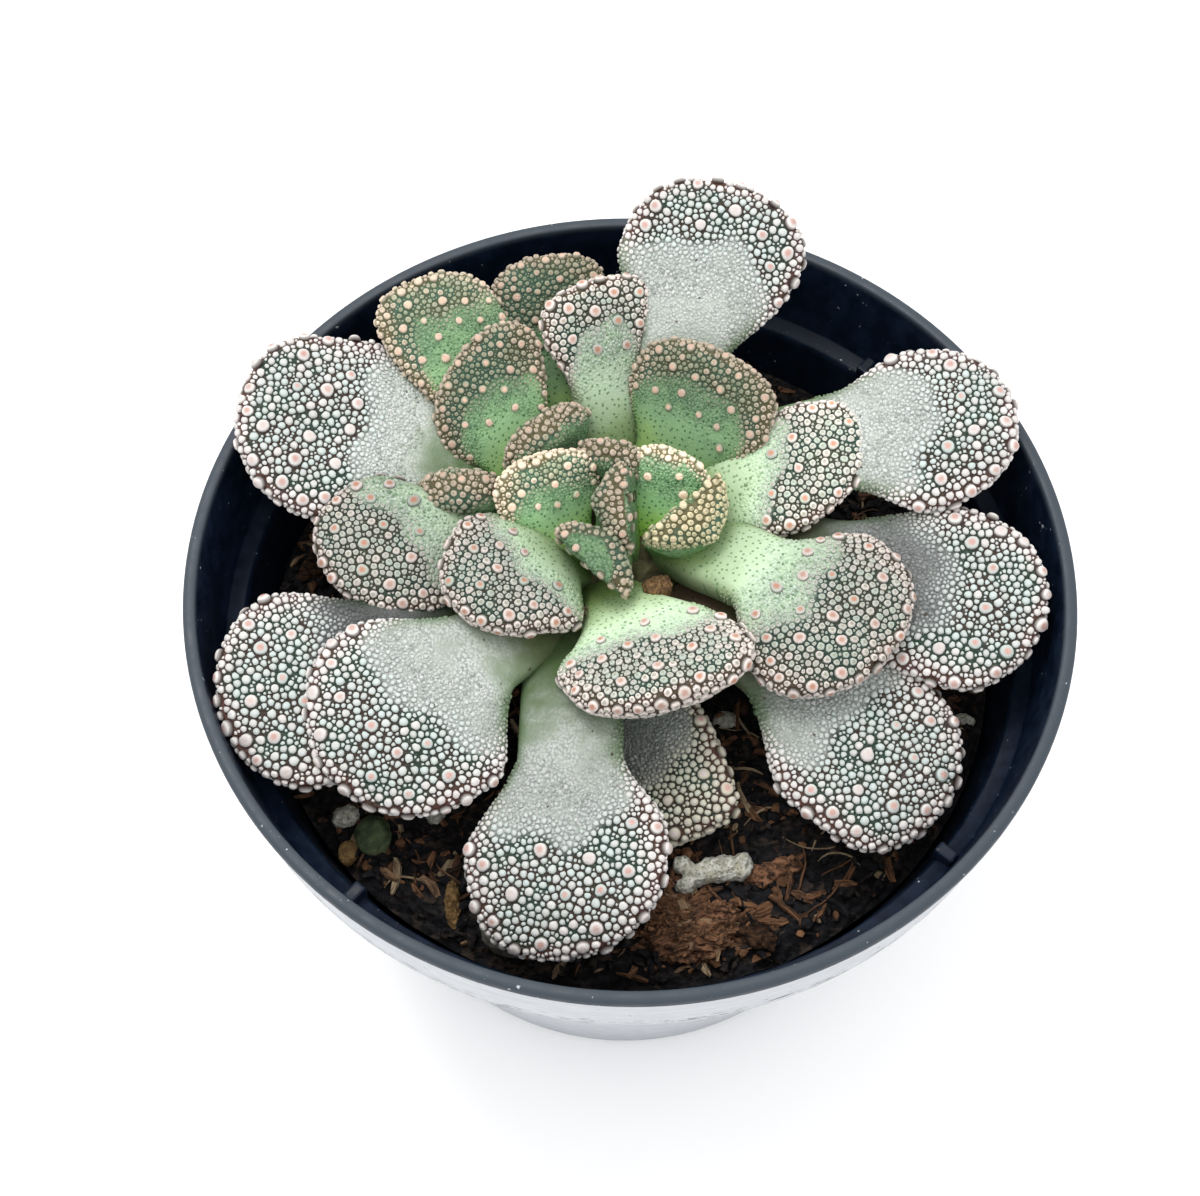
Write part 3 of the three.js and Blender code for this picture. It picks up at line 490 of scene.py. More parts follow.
def leaf_material(age):
    look = SimpleNamespace(**of_age(LEAF_LOOKS, age))
    s = Shader("leaf_" + age, 0.25)
    along, across, cover, grow, edge, under, warm, dusk, dry, pale, share, wart, radial, size, chance = map(
        s.attribute, LEAF_MARKS)
    sheet = s.vector(across, along)
    blotch = s.noise(0.22, 3, 0.55)
    fine = s.noise(2.6, 3, 0.6)

    # stalk: greener at the root and underneath, on old and middle leaves darker at the root with painted shade,
    # darker towards its edges with painted shade, and with a dusty bloom and small dark dots
    bloom = s.plus(share, s.span(blotch, 0.3, 0.7, -0.045, 0.045))
    neck = s.mix(s.span(bloom, look.bloom, look.bloom + 0.38), look.base, look.neck)
    neck = s.mix(s.times(under, 0.75), neck, look.back)
    # painted shade: the stalk darkens towards its edges
    neck = s.mix(s.times(s.span(edge, look.shade_from, 1), 0.85), neck, look.back)
    dots = s.cells(1.45, sheet, flat=True, randomness=0.8)
    dot = s.times(s.span(dots, 0.26, 0.12), s.span(share, 0.08, 0.22))
    dot = s.times(dot, s.span(s.cell_chance(1.45, sheet, flat=True), 0, 0.4))

    # grains that thicken towards the spoon
    grains = s.cells(2.9, sheet, flat=True)
    speck = s.noise(5.5, 2, 0.7)
    uneven = s.plus(grains, s.span(speck, 0.3, 0.7, -0.2, 0.2))
    grain = s.mix(s.span(uneven, 0.25, 0.62), look.grain, look.gap)
    grain = s.mix(s.span(s.noise(0.9), 0.42, 0.66, 0, 0.5), grain, look.neck)
    grainy = s.plus(share, s.span(blotch, 0.3, 0.7, -0.1, 0.1))
    grainy = s.times(s.span(grainy, look.grain_start, look.grain_full), 0.85)
    # fewer grains towards the edges, so that the painted shade there shows
    grainy = s.times(grainy, s.span(edge, look.shade_from + 0.2, 1, 1, look.edge_grain))
    stalk = s.mix(grainy, neck, grain)
    stalk = s.mix(s.times(dot, look.dots), stalk, look.dot)
    # a purplish grey laid over the stalk: a real tint on some leaves, painted shade on leaves that others shade
    stalk = s.mix(s.times(dusk, 0.9), stalk, (146, 142, 150), "MULTIPLY")
    stalk = s.mix(s.times(dry, s.span(blotch, 0.3, 0.5, 0.6, 1)), stalk, (122, 92, 80))
    fleck = s.times(s.span(s.noise(1.3, 1), 0.74, 0.77), s.span(under, 0.5, 0))
    stalk = s.mix(s.times(fleck, look.fleck), stalk, (74, 60, 44))

    # skin between the warts
    skin = s.mix(s.span(blotch, 0.42, 0.58), look.skin, look.skin_cool)
    skin = s.mix(s.times(s.span(edge, 0.5, 0.95), 0.8), skin, look.skin_edge)
    skin = s.mix(s.span(speck, 0.45, 0.8, 0, 0.35), skin, look.gap)
    body = s.mix(s.span(cover, 0.1, 0.5), stalk, skin)

    # warts: a coloured middle in a pale rim, greener away from the margin
    middle = s.mix(s.span(size, 0.42, 0.62), look.small, look.big)
    cool = s.times(s.span(chance, 0.35, 0.9), s.span(edge, 0.9, 0.3, 0, 0.75))
    inner = s.times(s.span(edge, 0.8, 0.15), s.span(size, 0.5, 0.25, 0, look.inner))
    rim = s.mix(s.math("MAXIMUM", cool, inner), look.rim, look.cool)
    rim = s.mix(warm, rim, (214, 206, 162))
    middle = s.mix(s.span(chance, 0.55, 0.2, 0, look.white), middle, look.rim)
    pit = s.times(s.span(radial, 0.62, 0.3), look.pit)
    pit = s.math("MAXIMUM", pit, s.times(s.span(radial, 0.8, 0.2), s.span(size, 0.5, 0.7)))
    dome = s.mix(pit, rim, middle)
    dome = s.mix(s.span(speck, 0.42, 0.75, 0, 0.45), dome, look.small)
    dome = s.mix(s.span(radial, 0.84, 1), dome, look.skin)
    dome = s.gain(dome, s.plus(0.9, s.times(chance, 0.24)))
    dome = s.mix(s.times(s.span(grow, 0.6, 0.1), s.span(size, 0.5, 0.2)), dome, stalk)

    # painted light and shade: each leaf brightened or darkened as a whole, and its stalk apart, for the light it
    # gets
    colour = s.gain(s.mix(wart, body, dome), s.plus(1, pale))
    relief = s.times(s.span(uneven, 0.6, 0.1), s.span(share, look.grain_start, look.grain_full))
    relief = s.plus(s.times(relief, s.math("SUBTRACT", 1, wart)), s.times(speck, 0.9))
    return s.finish(colour, s.span(fine, 0.3, 0.7, 0.6, 0.8), relief, 0.9, 0.14)


def compost_material():
    s = Shader("compost", 0.2)
    tone, along, across = map(s.attribute, ("tone", "along", "across"))
    grain = s.noise(1, 4, 0.65, s.vector(s.times(along, 0.35), s.times(across, 3.5)))
    lump = s.noise(1.4, 4, 0.6)
    dark = s.mix(s.span(lump, 0.35, 0.65), (8, 9, 12), (37, 37, 41))
    shreds = s.span(s.cell_chance(0.75, s.stretched(1, 1.7, 1)), 0.5, 1, 0, 0.7)
    dark = s.mix(s.times(shreds, s.span(lump, 0.4, 0.55)), dark, (76, 64, 54))
    brown = s.mix(s.span(grain, 0.35, 0.65), (62, 44, 32), (150, 108, 78))
    tan = s.mix(s.span(grain, 0.35, 0.65), (128, 106, 82), (208, 186, 152))
    colour = s.mix(s.span(tone, 0.3, 0.5), dark, brown)
    colour = s.mix(s.span(tone, 0.7, 0.9), colour, tan)
    return s.finish(colour, s.span(lump, 0.3, 0.7, 0.75, 0.95), s.plus(grain, lump), 0.8, 0.25)


def stone_material(name, light, dark, stain, scale, pore):
    s = Shader(name, 0.25)
    lump = s.noise(scale, 4, 0.6)
    patch = s.noise(scale * 0.4)
    colour = s.mix(s.span(lump, 0.35, 0.68), dark, light)
    colour = s.mix(s.span(patch, 0.5, 0.75, 0, 0.6), colour, stain)
    pores = s.cells(scale * 1.6)
    if pore:
        colour = s.mix(s.span(pores, 0.24, 0.1, 0, pore), colour, dark)
    relief = s.plus(lump, s.times(s.span(pores, 0.05, 0.35), pore))
    return s.finish(colour, s.span(lump, 0.3, 0.7, 0.7, 0.92), relief, 0.8, 0.3)


def bark_material(name, light, dark):
    s = Shader(name, 0.2)
    fibre = s.noise(1, 5, 0.7, s.stretched(0.5, 1.6, 3.2))
    lump = s.noise(1.1, 4, 0.65)
    colour = s.mix(s.span(fibre, 0.38, 0.62), dark, light)
    colour = s.mix(s.span(lump, 0.5, 0.72, 0, 0.75), colour, dark)
    return s.finish(colour, s.span(lump, 0.3, 0.7, 0.75, 0.95), s.plus(fibre, lump), 1, 0.5)


def stem_material():
    s = Shader("stem", 0.5)
    rings = s.noise(1, 4, 0.6, s.stretched(0.4, 0.4, 2.6))
    lump = s.noise(0.8, 3, 0.6)
    colour = s.mix(s.span(rings, 0.35, 0.65), (92, 86, 58), (142, 138, 98))
    colour = s.mix(s.span(lump, 0.5, 0.75, 0, 0.7), colour, (70, 58, 40))
    return s.finish(colour, 0.8, s.plus(rings, lump), 0.9, 0.4)


def pot_material():
    s = Shader("pot_plastic", 0.35)
    outer = s.attribute("outer")
    height = s.height()
    mottle = s.noise(0.5, 3, 0.6)
    dust = s.noise(3.2, 3, 0.7)

    # black inside, lighter low down and greyer on top of the rim with painted light, with dust and crumbs
    dark = s.mix(s.span(mottle, 0.35, 0.7), (0, 17, 38), (4, 28, 54))
    # painted light: the inside wall is lighter low down, from the ledge downwards
    dark = s.mix(s.span(height, POT_HEIGHT - 8, POT_HEIGHT - 17, 0, 0.3), dark, (20, 38, 56))
    # painted light: the top of the rim is greyer where it catches the light
    top = s.span(height, POT_HEIGHT - 0.9, POT_HEIGHT - 0.15)
    dark = s.mix(s.times(top, 0.9), dark, (64, 74, 84))
    dark = s.mix(s.span(dust, 0.68, 0.76, 0, 0.7), dark, (118, 130, 140))
    crumbs = s.times(s.span(s.noise(1.7, 1), 0.75, 0.77), s.span(mottle, 0.45, 0.6))
    dark = s.mix(crumbs, dark, (196, 204, 208))

    # pale outside, darker towards the foot with painted shade, with short dark dashes at the foot of the collar
    streak = s.noise(0.5, 3, 0.6, s.stretched(0.35, 0.35, 5))
    light = s.mix(s.span(streak, 0.3, 0.7), (206, 211, 217), (224, 227, 231))
    # painted shade: the outside darkens towards the foot
    light = s.mix(s.span(height, LEDGE, 0, 0.1, 1), light, (176, 181, 188))
    dash_noise = s.noise(1, 3, 0.6, s.stretched(0.5, 0.5, 5))
    band = s.times(s.span(height, 51.6, 51.9), s.span(height, 54, 53.2))
    dark_dashes = s.times(s.span(dash_noise, 0.575, 0.6), band)
    light = s.mix(s.times(dark_dashes, 0.95), light, (30, 30, 34))
    light = s.mix(s.times(s.span(s.noise(1.3, 1), 0.76, 0.79), 0.7), light, (96, 96, 100))

    relief = s.plus(mottle, s.times(dust, 0.4))
    return s.finish(s.mix(outer, dark, light), s.span(mottle, 0.3, 0.7, 0.42, 0.58), relief, 0.3, 0.1)


class Leaf:
    """A spoon swept along an arched midrib: u runs from 0 at the root to 1 at the tip, the angle goes round it."""

    def __init__(self, order, row):
        number, self.age, root, tip, arch, self.neck, self.wide, self.thick, warts, extra = row
        vars(self).update(LEAF_DEFAULTS, **extra)
        self.name, self.order = f"leaf_{number:02}", order
        self.root, self.tip = np.array(root, float), np.array(tip, float)
        self.roll = radians(self.roll)
        self.warts = [start + later for start, later in zip(warts, self.later)]
        chord = self.tip - self.root
        self.length = float(np.linalg.norm(chord))
        if self.face is None:
            heading = np.array([chord[0], chord[1], 0]) / hypot(chord[0], chord[1])
        else:
            angle = radians(self.face)
            heading = np.array([cos(angle), sin(angle), 0])
        self.across = np.array([heading[1], -heading[0], 0])
        lift = np.cross(self.across, chord / self.length)
        lift /= np.linalg.norm(lift)
        self.bend = (self.root + self.tip) / 2 + 2 * arch * lift

    def rib(self, u):
        """The midrib's points, and what is sideways, upward and forward there."""
        u = u[:, None]
        centre = (1 - u) ** 2 * self.root + 2 * u * (1 - u) * self.bend + u ** 2 * self.tip
        forward = unit(2 * (1 - u) * (self.bend - self.root) + 2 * u * (self.tip - self.bend))
        up = unit(np.cross(np.broadcast_to(self.across, forward.shape), forward))
        side = np.cross(forward, up)
        c, s = cos(self.roll), sin(self.roll)
        return centre, side * c + up * s, up * c - side * s, forward

    def half_width(self, u):
        spread = smoothstep(u, self.flare, self.shoulder)
        stalk = self.neck * (0.75 + 0.25 * smoothstep(u, 0, 0.3))
        end = np.clip((u - self.shoulder) / (1 - self.shoulder), 0, 1)
        width = stalk + (self.wide - WART_RISE - self.neck) * spread
        return spread, 0.5 * width * np.sqrt(1 - end ** self.blunt)

    def half_depth(self, u):
        end = np.clip((u - 0.86) / 0.14, 0, 1)
        swell = 0.9 + 0.2 * smoothstep(u, 0, 0.25) - 0.25 * smoothstep(u, 0.3, 0.8)
        return 0.5 * self.thick * swell * np.sqrt(1 - end ** 2.2)

    def surface(self, u, angle):
        """Points of the smooth skin."""
        centre, sideways, upward, forward = self.rib(u)
        spread, width = self.half_width(u)
        c, s = np.cos(angle), np.sin(angle)
        x = np.sign(c) * np.abs(c) ** 0.8
        face = (0.75 - 0.67 * self.keel) * np.abs(s) ** (0.55 + 0.25 * spread)
        ridge = 1 - np.abs(x) ** 1.1
        back = np.abs(s) ** 0.95
        z = np.where(s > 0, face, -1.25 * (back + 0.5 * (ridge - back) * self.keel))
        swell = 1 + 0.1 * smoothstep(u, 0.45, 0.75)
        phase = self.order * 1.7
        ripple = 1 + 0.03 * spread * np.sin(7 * u * 2 + 3 * x + phase)
        ripple = ripple + 0.02 * spread * np.sin(19 * u - 2 * x + phase)
        dent = 0.22 * spread * np.sin(9 * u + 2.6 * x + phase) * np.sin(5.1 * x + phase * 2)
        point = centre + sideways * (width * x * ripple)[:, None]
        point = point + upward * (self.half_depth(u) * z * swell + dent)[:, None]
        return point + forward * (self.lean * spread * width * x)[:, None]

    def outward(self, u, angle):
        """The skin's outward directions."""
        low, high = np.clip(u - 0.004, 0, 0.996), np.clip(u + 0.004, 0.004, 0.999)
        du = self.surface(high, angle) - self.surface(low, angle)
        da = self.surface(u, angle + 0.03) - self.surface(u, angle - 0.03)
        normal = unit(np.cross(da, du))
        inward = np.sum(normal * (self.surface(u, angle) - self.rib(u)[0]), axis=1) < 0
        normal[inward] *= -1
        return normal

    def marks(self, u, angle):
        """What the material reads at a point of the skin."""
        c, s = np.cos(angle), np.sin(angle)
        x = np.sign(c) * np.abs(c) ** 0.8
        left, middle, right = self.warts
        bare = self.bare * smoothstep(u, 0.94, 0.985)
        late = np.where(s < -0.3, 1 - self.keel, np.where(s > 0.3, 2.5 * self.keel, 0))
        start = middle + (np.where(c > 0, right, left) - middle) * c * c + UNDERSIDE_DELAY * late
        phase = self.order * 2.3
        start = start + 0.025 * np.sin(4.2 * x + phase) + 0.018 * np.sin(9.4 * x - 2 * phase)
        grow = smoothstep(u, start - 0.16, start + 0.16) * (1 - bare)
        if self.bare:
            point = self.surface(u, angle)
            along, across = 0.87 * point[:, 1] + 0.49 * point[:, 2], point[:, 0]
        else:
            along, across = u * self.length + 40 * self.order, self.half_width(u)[1] * x + 3 * self.order
        return dict(
            along=along, across=across, share=u, grow=grow,
            cover=smoothstep(u, start - 0.02, start + 0.1) * (1 - bare),
            edge=np.maximum(c * c, smoothstep(u, 0.92, 0.995)),
            under=smoothstep(-s, -0.1, 0.3),
            warm=np.full(len(u), self.warm),
            dusk=np.full(len(u), self.dusk),
            dry=self.dry * smoothstep(u, 0.45, 0.25),
            pale=self.pale + self.frost * (1 - grow))


def leaf_grid(leaf):
    head = 1 - (1 - np.linspace(0, 1, LEAF_ROWS)) ** 1.35
    u, angle = np.repeat(head * LEAF_END, LEAF_SIDES), np.tile(ring_angles(LEAF_SIDES), LEAF_ROWS)
    return u, angle, leaf.surface(u, angle), grid_quads(LEAF_ROWS, LEAF_SIDES, flip=True)


def depth_inside(points, solids, reach=6.0):
    """How deep each point lies inside one of the solids: below 0 where it is outside all of them."""
    deep = np.full(len(points), -reach)
    for tree, low, high in solids:
        for i in np.nonzero(np.all((points > low) & (points < high), axis=1))[0]:
            spot, normal = tree.find_nearest(points[i], reach)[:2]
            if spot is not None:
                deep[i] = max(deep[i], (spot - Vector(points[i])).dot(normal))
    return deep


def largest_patch(quads, keep, count):
    """Of the faces that are kept, those of the largest connected patch."""
    lowest, before = np.arange(count), None
    while not np.array_equal(lowest, before):
        before = lowest.copy()
        np.minimum.at(lowest, quads[keep], lowest[quads[keep]].min(axis=1)[:, None])
    patch = lowest[quads[:, 0]]
    return keep & (patch == np.bincount(patch[keep]).argmax())


def scatter_warts(leaf, points, quads, grid_u, grid_a, rng):
    """Warts packed on the spoon, the big ones first: u, angle and radius, and a random number for each."""
    sizes = of_age(WART_SIZES, leaf.age)
    corners = points[quads]
    areas = 0.5 * np.linalg.norm(np.cross(corners[:, 2] - corners[:, 0], corners[:, 3] - corners[:, 1]), axis=1)
    grown = leaf.marks(grid_u, grid_a)["grow"][quads].mean(1) > 0.01
    weights = areas * (grown | (grid_u[quads].mean(1) > 0.62))
    weights *= np.where(np.sin(grid_a[quads[:, 0]]) > -0.3, 1, 0.3)
    tries = sum(WART_TRIES)
    picks = quads[rng.choice(len(quads), size=tries, p=weights / weights.sum())]
    u_low, u_high = grid_u[picks[:, 0]], grid_u[picks[:, 1]]
    u = u_low + (u_high - u_low) * rng.random(tries)
    angle = (picks[:, 0] % LEAF_SIDES + rng.random(tries)) * 2 * pi / LEAF_SIDES
    centres = leaf.surface(u, angle)
    marks = leaf.marks(u, angle)
    margin, grow = marks["edge"], marks["grow"]
    upper = np.sin(angle) > -0.25
    draw = rng.random(tries)

    # what each try wants: where it may be, its radius, the least it takes and its distance from other big ones
    kind = np.repeat([0, 1, 2], WART_TRIES)
    stray = u > (max(leaf.warts[1] - sizes["stray"], 0.5) if sizes["stray"] else 1)
    allowed = np.choose(kind, (upper & ((marks["cover"] > 0.75) | stray), grow > 0.32, grow >= 0.01))
    low, high = np.array([sizes[name] for name in ("big", "middle", "small")])[kind].T
    below = (kind == 2) & ~upper
    low, high = np.where(below, (low * 1.4, high * 1.3), (low, high))
    shrink = 0.42 + 0.58 * smoothstep(grow, 0.15, 1)
    draw = np.where(kind == 1, np.maximum(draw, margin * 0.8), draw)
    wanted = (low + (high - low) * draw) * np.choose(kind, (1, shrink, np.maximum(shrink, 0.7)))
    least = low * np.choose(kind, (0.9, 0.92 * shrink, np.where(upper, 0.72, 1)))
    apart = sizes["apart"] * np.where(margin > 0.6, 0.68, 1)

    taken, spots, radii = [], np.zeros((tries, 3)), np.zeros(tries)
    for i in np.nonzero(allowed)[0]:
        count, radius = len(taken), wanted[i]
        if count:
            away = np.linalg.norm(spots[:count] - centres[i], axis=1)
            big = radii[:count] > least[i]
            if kind[i] == 0 and big.any() and away[big].min() < apart[i]:
                continue
            radius = min(radius, (away - radii[:count]).min() * WART_CLEARANCE)
            if radius < least[i]:
                continue
        spots[count], radii[count] = centres[i], radius
        taken.append(i)
    return u[taken], angle[taken], radii[:len(taken)], rng.random(len(taken))


def outlines(centre, side, other, radius, chosen, theta, swell):
    """How far each chosen wart reaches in each direction before it meets its neighbours."""
    offset = centre[None, :, :] - centre[chosen][:, None, :]
    away = np.linalg.norm(offset, axis=2)
    away[np.arange(len(chosen)), chosen] = np.inf
    border = (away ** 2 + radius[chosen][:, None] ** 2 - radius[None, :] ** 2) / (2 * away)
    border[~np.isfinite(border)] = np.inf
    count = min(NEIGHBOURS, border.shape[1] - 1)
    nearest = np.argpartition(border, count - 1, axis=1)[:, :count]
    rows = np.arange(len(chosen))[:, None]
    near = offset[rows, nearest]
    sideways, upward = (np.sum(near * axis[chosen][:, None, :], axis=2) for axis in (side, other))
    heading = np.arctan2(upward, sideways)
    border = np.maximum(border[rows, nearest], 0.6 * radius[chosen][:, None])
    cosine = np.cos(theta[:, :, None] - heading[:, None, :])
    limit = np.where(cosine > 0.05, border[:, None, :] / np.maximum(cosine, 0.05), np.inf)
    cap = swell * radius[chosen][:, None]
    total = np.sum(limit ** -CORNER_SHARPNESS, axis=2) + cap ** -CORNER_SHARPNESS
    return total ** (-1 / CORNER_SHARPNESS) - GROOVE / 2


def add_warts(builder, leaf, u, angle, radius, chance, stay, rng):
    """Domes on the skin, each with the outline that its neighbours leave it."""
    sizes = of_age(WART_SIZES, leaf.age)
    centre = leaf.surface(u, angle)
    normal = leaf.outward(u, angle)
    side = unit(np.cross(np.where(np.abs(normal[:, 2:]) < 0.9, [[0, 0, 1]], [[1, 0, 0]]), normal))
    other = np.cross(normal, side)
    marks = leaf.marks(u, angle)
    limits = (sizes["big"][0] * 0.9, sizes["middle"][0] * 0.9, TINY_WART)
    kinds = np.sum([radius < limit for limit in limits], axis=0)
    share = np.clip((radius - TINY_WART) / (sizes["big"][1] - TINY_WART), 0, 1)
    for kind, (around, rings, dented) in enumerate(WART_SHAPES):
        chosen = np.nonzero((kinds == kind) & stay)[0]
        n = len(chosen)
        if not n:
            continue
        theta = ring_angles(around) + rng.uniform(0, 2 * pi, (n, 1))
        lumps = 1
        for lobes in (2, 3):
            lumps = lumps + 0.03 * np.sin(lobes * theta + rng.uniform(0, 6.3, (n, 1)))
        reach = outlines(centre, side, other, radius, chosen, theta, sizes["swell"]) * lumps
        rise = sizes["rise"] * np.minimum(reach.mean(axis=1), 0.72) * rng.uniform(0.85, 1.12, n)
        rise = rise * (1 + 0.25 * (marks["edge"][chosen] > 0.8))
        pit = sizes["pit"] if dented else 0
        middle, up, right, ahead = (axis[chosen][:, None, :] for axis in (centre, normal, side, other))
        block = [middle + up * (rise * (1 - pit))[:, None, None]]
        for t in rings:
            height = np.full(n, WART_FOOT)
            if t < 1:
                height = rise * (1 - t ** 3.4) ** 0.5 * (1 - pit * exp(-(t / 0.42) ** 2))
            ring = middle + up * height[:, None, None] + right * (t * reach * np.cos(theta))[:, :, None]
            block.append(ring + ahead * (t * reach * np.sin(theta))[:, :, None])
        block = np.concatenate(block, axis=1)
        per = block.shape[1]
        base = np.arange(n)[:, None, None] * per
        radial = np.tile([0, *np.repeat(rings, around)], n)
        builder.add(block, grid_quads(len(rings), around, flip=True) + 1 + base, fan(1, around, 0) + base,
                    wart=1, radial=radial, size=np.repeat(share[chosen], per),
                    chance=np.repeat(chance[chosen], per),
                    **{key: np.repeat(value[chosen], per) for key, value in marks.items()})


def build_leaves():
    leaves = [Leaf(i + 1, row) for i, row in enumerate(LEAVES)]
    grids = [leaf_grid(leaf) for leaf in leaves]
    solids = [(BVHTree.FromPolygons(points.tolist(), quads.tolist()), points.min(0) - 0.5, points.max(0) + 0.5)
              for _, _, points, quads in grids]
    materials = {age: leaf_material(age) for age in AGES}
    for i, leaf in enumerate(leaves):
        rng = np.random.default_rng(LEAF_SEED + i)
        grid_u, grid_a, points, quads = grids[i]

        # the skin, without what other leaves hide
        hidden = np.all(depth_inside(points, solids[:i])[quads] > HIDDEN_DEPTH, axis=1)
        keep = largest_patch(quads, ~hidden, len(points))
        builder = Builder(*LEAF_MARKS)
        builder.add(points, quads[keep], **leaf.marks(grid_u, grid_a))
        if keep[-1]:
            builder.add(leaf.tip, **leaf.marks(np.array([0.9995]), np.array([pi / 2])))
            builder.triangles.append(fan(LEAF_SIDES * (LEAF_ROWS - 1), LEAF_SIDES, len(points), flip=True))

        # the warts that are neither buried nor on hidden skin
        u, angle, radius, chance = scatter_warts(leaf, points, quads, grid_u, grid_a, rng)
        buried = depth_inside(leaf.surface(u, angle), solids[:i] + solids[i + 1:]) >= WART_HIDDEN_DEPTH
        kept_points = np.zeros(len(points), bool)
        kept_points[quads[keep].ravel()] = True
        row = np.clip(np.searchsorted(grid_u[::LEAF_SIDES], u) - 1, 0, LEAF_ROWS - 2)
        column = (angle / (2 * pi / LEAF_SIDES)).astype(int) % LEAF_SIDES
        stay = kept_points[row * LEAF_SIDES + column] & ~buried
        add_warts(builder, leaf, u, angle, radius, chance, stay, rng)
        place(builder.build(leaf.name + "_fine", materials[leaf.age]), leaf.name)


def turned(profile, sides):
    """Points of a profile, as radius and height, turned round the vertical axis."""
    radius, height = np.array(profile, float).T[:, :, None]
    angle = ring_angles(sides)
    x = radius * np.cos(angle)
    return np.stack([x, radius * np.sin(angle), np.broadcast_to(height, x.shape)], -1).reshape(-1, 3)


def build_pot():
    profile, outer = [], []
    for finish, corners in ((1, POT_OUTSIDE), (0, POT_INSIDE)):
        for (radius, height), *steps in corners:
            profile += [(radius + across, height + up) for across, up in steps]
            outer += [finish] * len(steps)
    builder = Builder("outer")
    builder.add(turned(profile, POT_SIDES), grid_quads(len(profile), POT_SIDES), outer=np.repeat(outer, POT_SIDES))
    for row in (0, len(profile) - 1):
        builder.triangles.append(fan(row * POT_SIDES, POT_SIDES, builder.count, flip=row == 0))
        builder.add((0, 0, profile[row][1]), outer=outer[row])
    pot = builder.build("pot_fine", pot_material())

    cutters = []
    for i in range(4):
        turn = (i + 0.5) * pi / 2
        bpy.ops.mesh.primitive_cylinder_add(
            vertices=DRAIN_SIDES, radius=DRAIN_RADIUS * MM, depth=0.012,
            location=(DRAIN_CIRCLE * MM * cos(turn), DRAIN_CIRCLE * MM * sin(turn), 0))
        cutters.append(bpy.context.object)
        cut = pot.modifiers.new("drain", "BOOLEAN")
        cut.operation = "DIFFERENCE"
        cut.solver = "EXACT"
        cut.object = cutters[-1]
    apply_modifiers(pot)
    for cutter in cutters:
        bpy.data.objects.remove(cutter)

    lugs = Builder("outer")
    foot = LEDGE - LUG_SINK
    levels = ((foot, 0), (foot + LUG_RISE - 0.35, 0), (foot + LUG_RISE - 0.1, 0.1), (foot + LUG_RISE, 0.3))
    soft = ((0, LUG_ROUNDING), (LUG_ROUNDING, 0))
    for degrees in LUG_ANGLES:
        a = radians(degrees)
        along, aside = np.array([cos(a), sin(a), 0]), np.array([-sin(a), cos(a), 0])
        rings = []
        for z, shrink in levels:
            half_length, half_width = LUG_LENGTH / 2 - shrink, LUG_WIDTH / 2 - shrink
            rings.append([along * (LUG_RADIUS + sx * (half_length - dx)) + aside * sy * (half_width - dy) + [0, 0, z]
                          for sx, sy in ((1, -1), (1, 1), (-1, 1), (-1, -1))
                          for dx, dy in soft[::sx * sy]])
        lugs.add_tube(np.array(rings))
    join(pot, lugs.build("pot_lugs", pot.data.materials[0], smooth=False))
    place(pot, "pot")


def soil_height(x, y):
    radius = np.hypot(x, y)
    mound = SOIL_RISE * (1 - (radius / BED_RADIUS) ** 2)
    points = np.stack([x, y, np.zeros_like(x)], -1)
    lumps = 0.35 * waves(points, 9, 5) + 0.16 * waves(points, 3.4, 6)
    return SOIL_LEVEL - 0.2 + mound + lumps - 1.3 * smoothstep(radius, BED_RADIUS - 2.5, BED_RADIUS)


def on_soil(x, y, above):
    return np.array([x, y, float(soil_height(np.array([x]), np.array([y]))[0]) + above])


def random_spot(rng, reach):
    """A spot anywhere within reach of the pot's middle: its distance, x and y."""
    radius = reach * sqrt(rng.random())
    turn = rng.uniform(0, 2 * pi)
    return radius, radius * cos(turn), radius * sin(turn)


def add_splinter(builder, rng, centre, length, width, depth, heading, tilt, tone):
    """A thin torn chip: jittered five-sided cross-sections along it."""
    stations = 4 if length < 2.2 else 5
    along = np.array([cos(heading) * cos(tilt), sin(heading) * cos(tilt), sin(tilt)])
    aside = np.array([-sin(heading), cos(heading), 0])
    roll = rng.uniform(-0.5, 0.5)
    up = np.cross(along, aside)
    aside, up = aside * cos(roll) + up * sin(roll), up * cos(roll) - aside * sin(roll)
    bow = rng.uniform(-0.12, 0.12) * length
    points, local = [], []
    for i in range(stations):
        t = i / (stations - 1) - 0.5
        wide = width * (1 - 0.5 * (2 * abs(t)) ** 2.5) * rng.uniform(0.7, 1.2)
        deep = depth * (1 - 0.5 * (2 * abs(t)) ** 2) * rng.uniform(0.8, 1.2)
        mid = centre + along * t * length + aside * bow * (1 - 4 * t * t)
        for sx, sz in ((-1, -1), (1, -1), (1, 1), (0, 1.25), (-1, 1)):
            points.append(mid + aside * sx * wide / 2 + up * sz * deep / 2 + rng.uniform(-0.12, 0.12, 3) * width)
            local.append((t * length + centre[0] * 3, sx * wide / 2 + sz * deep + centre[1] * 3))
    along, across = np.array(local).T
    builder.add_tube(np.array(points).reshape(stations, 5, 3), tone=tone, along=along, across=across)


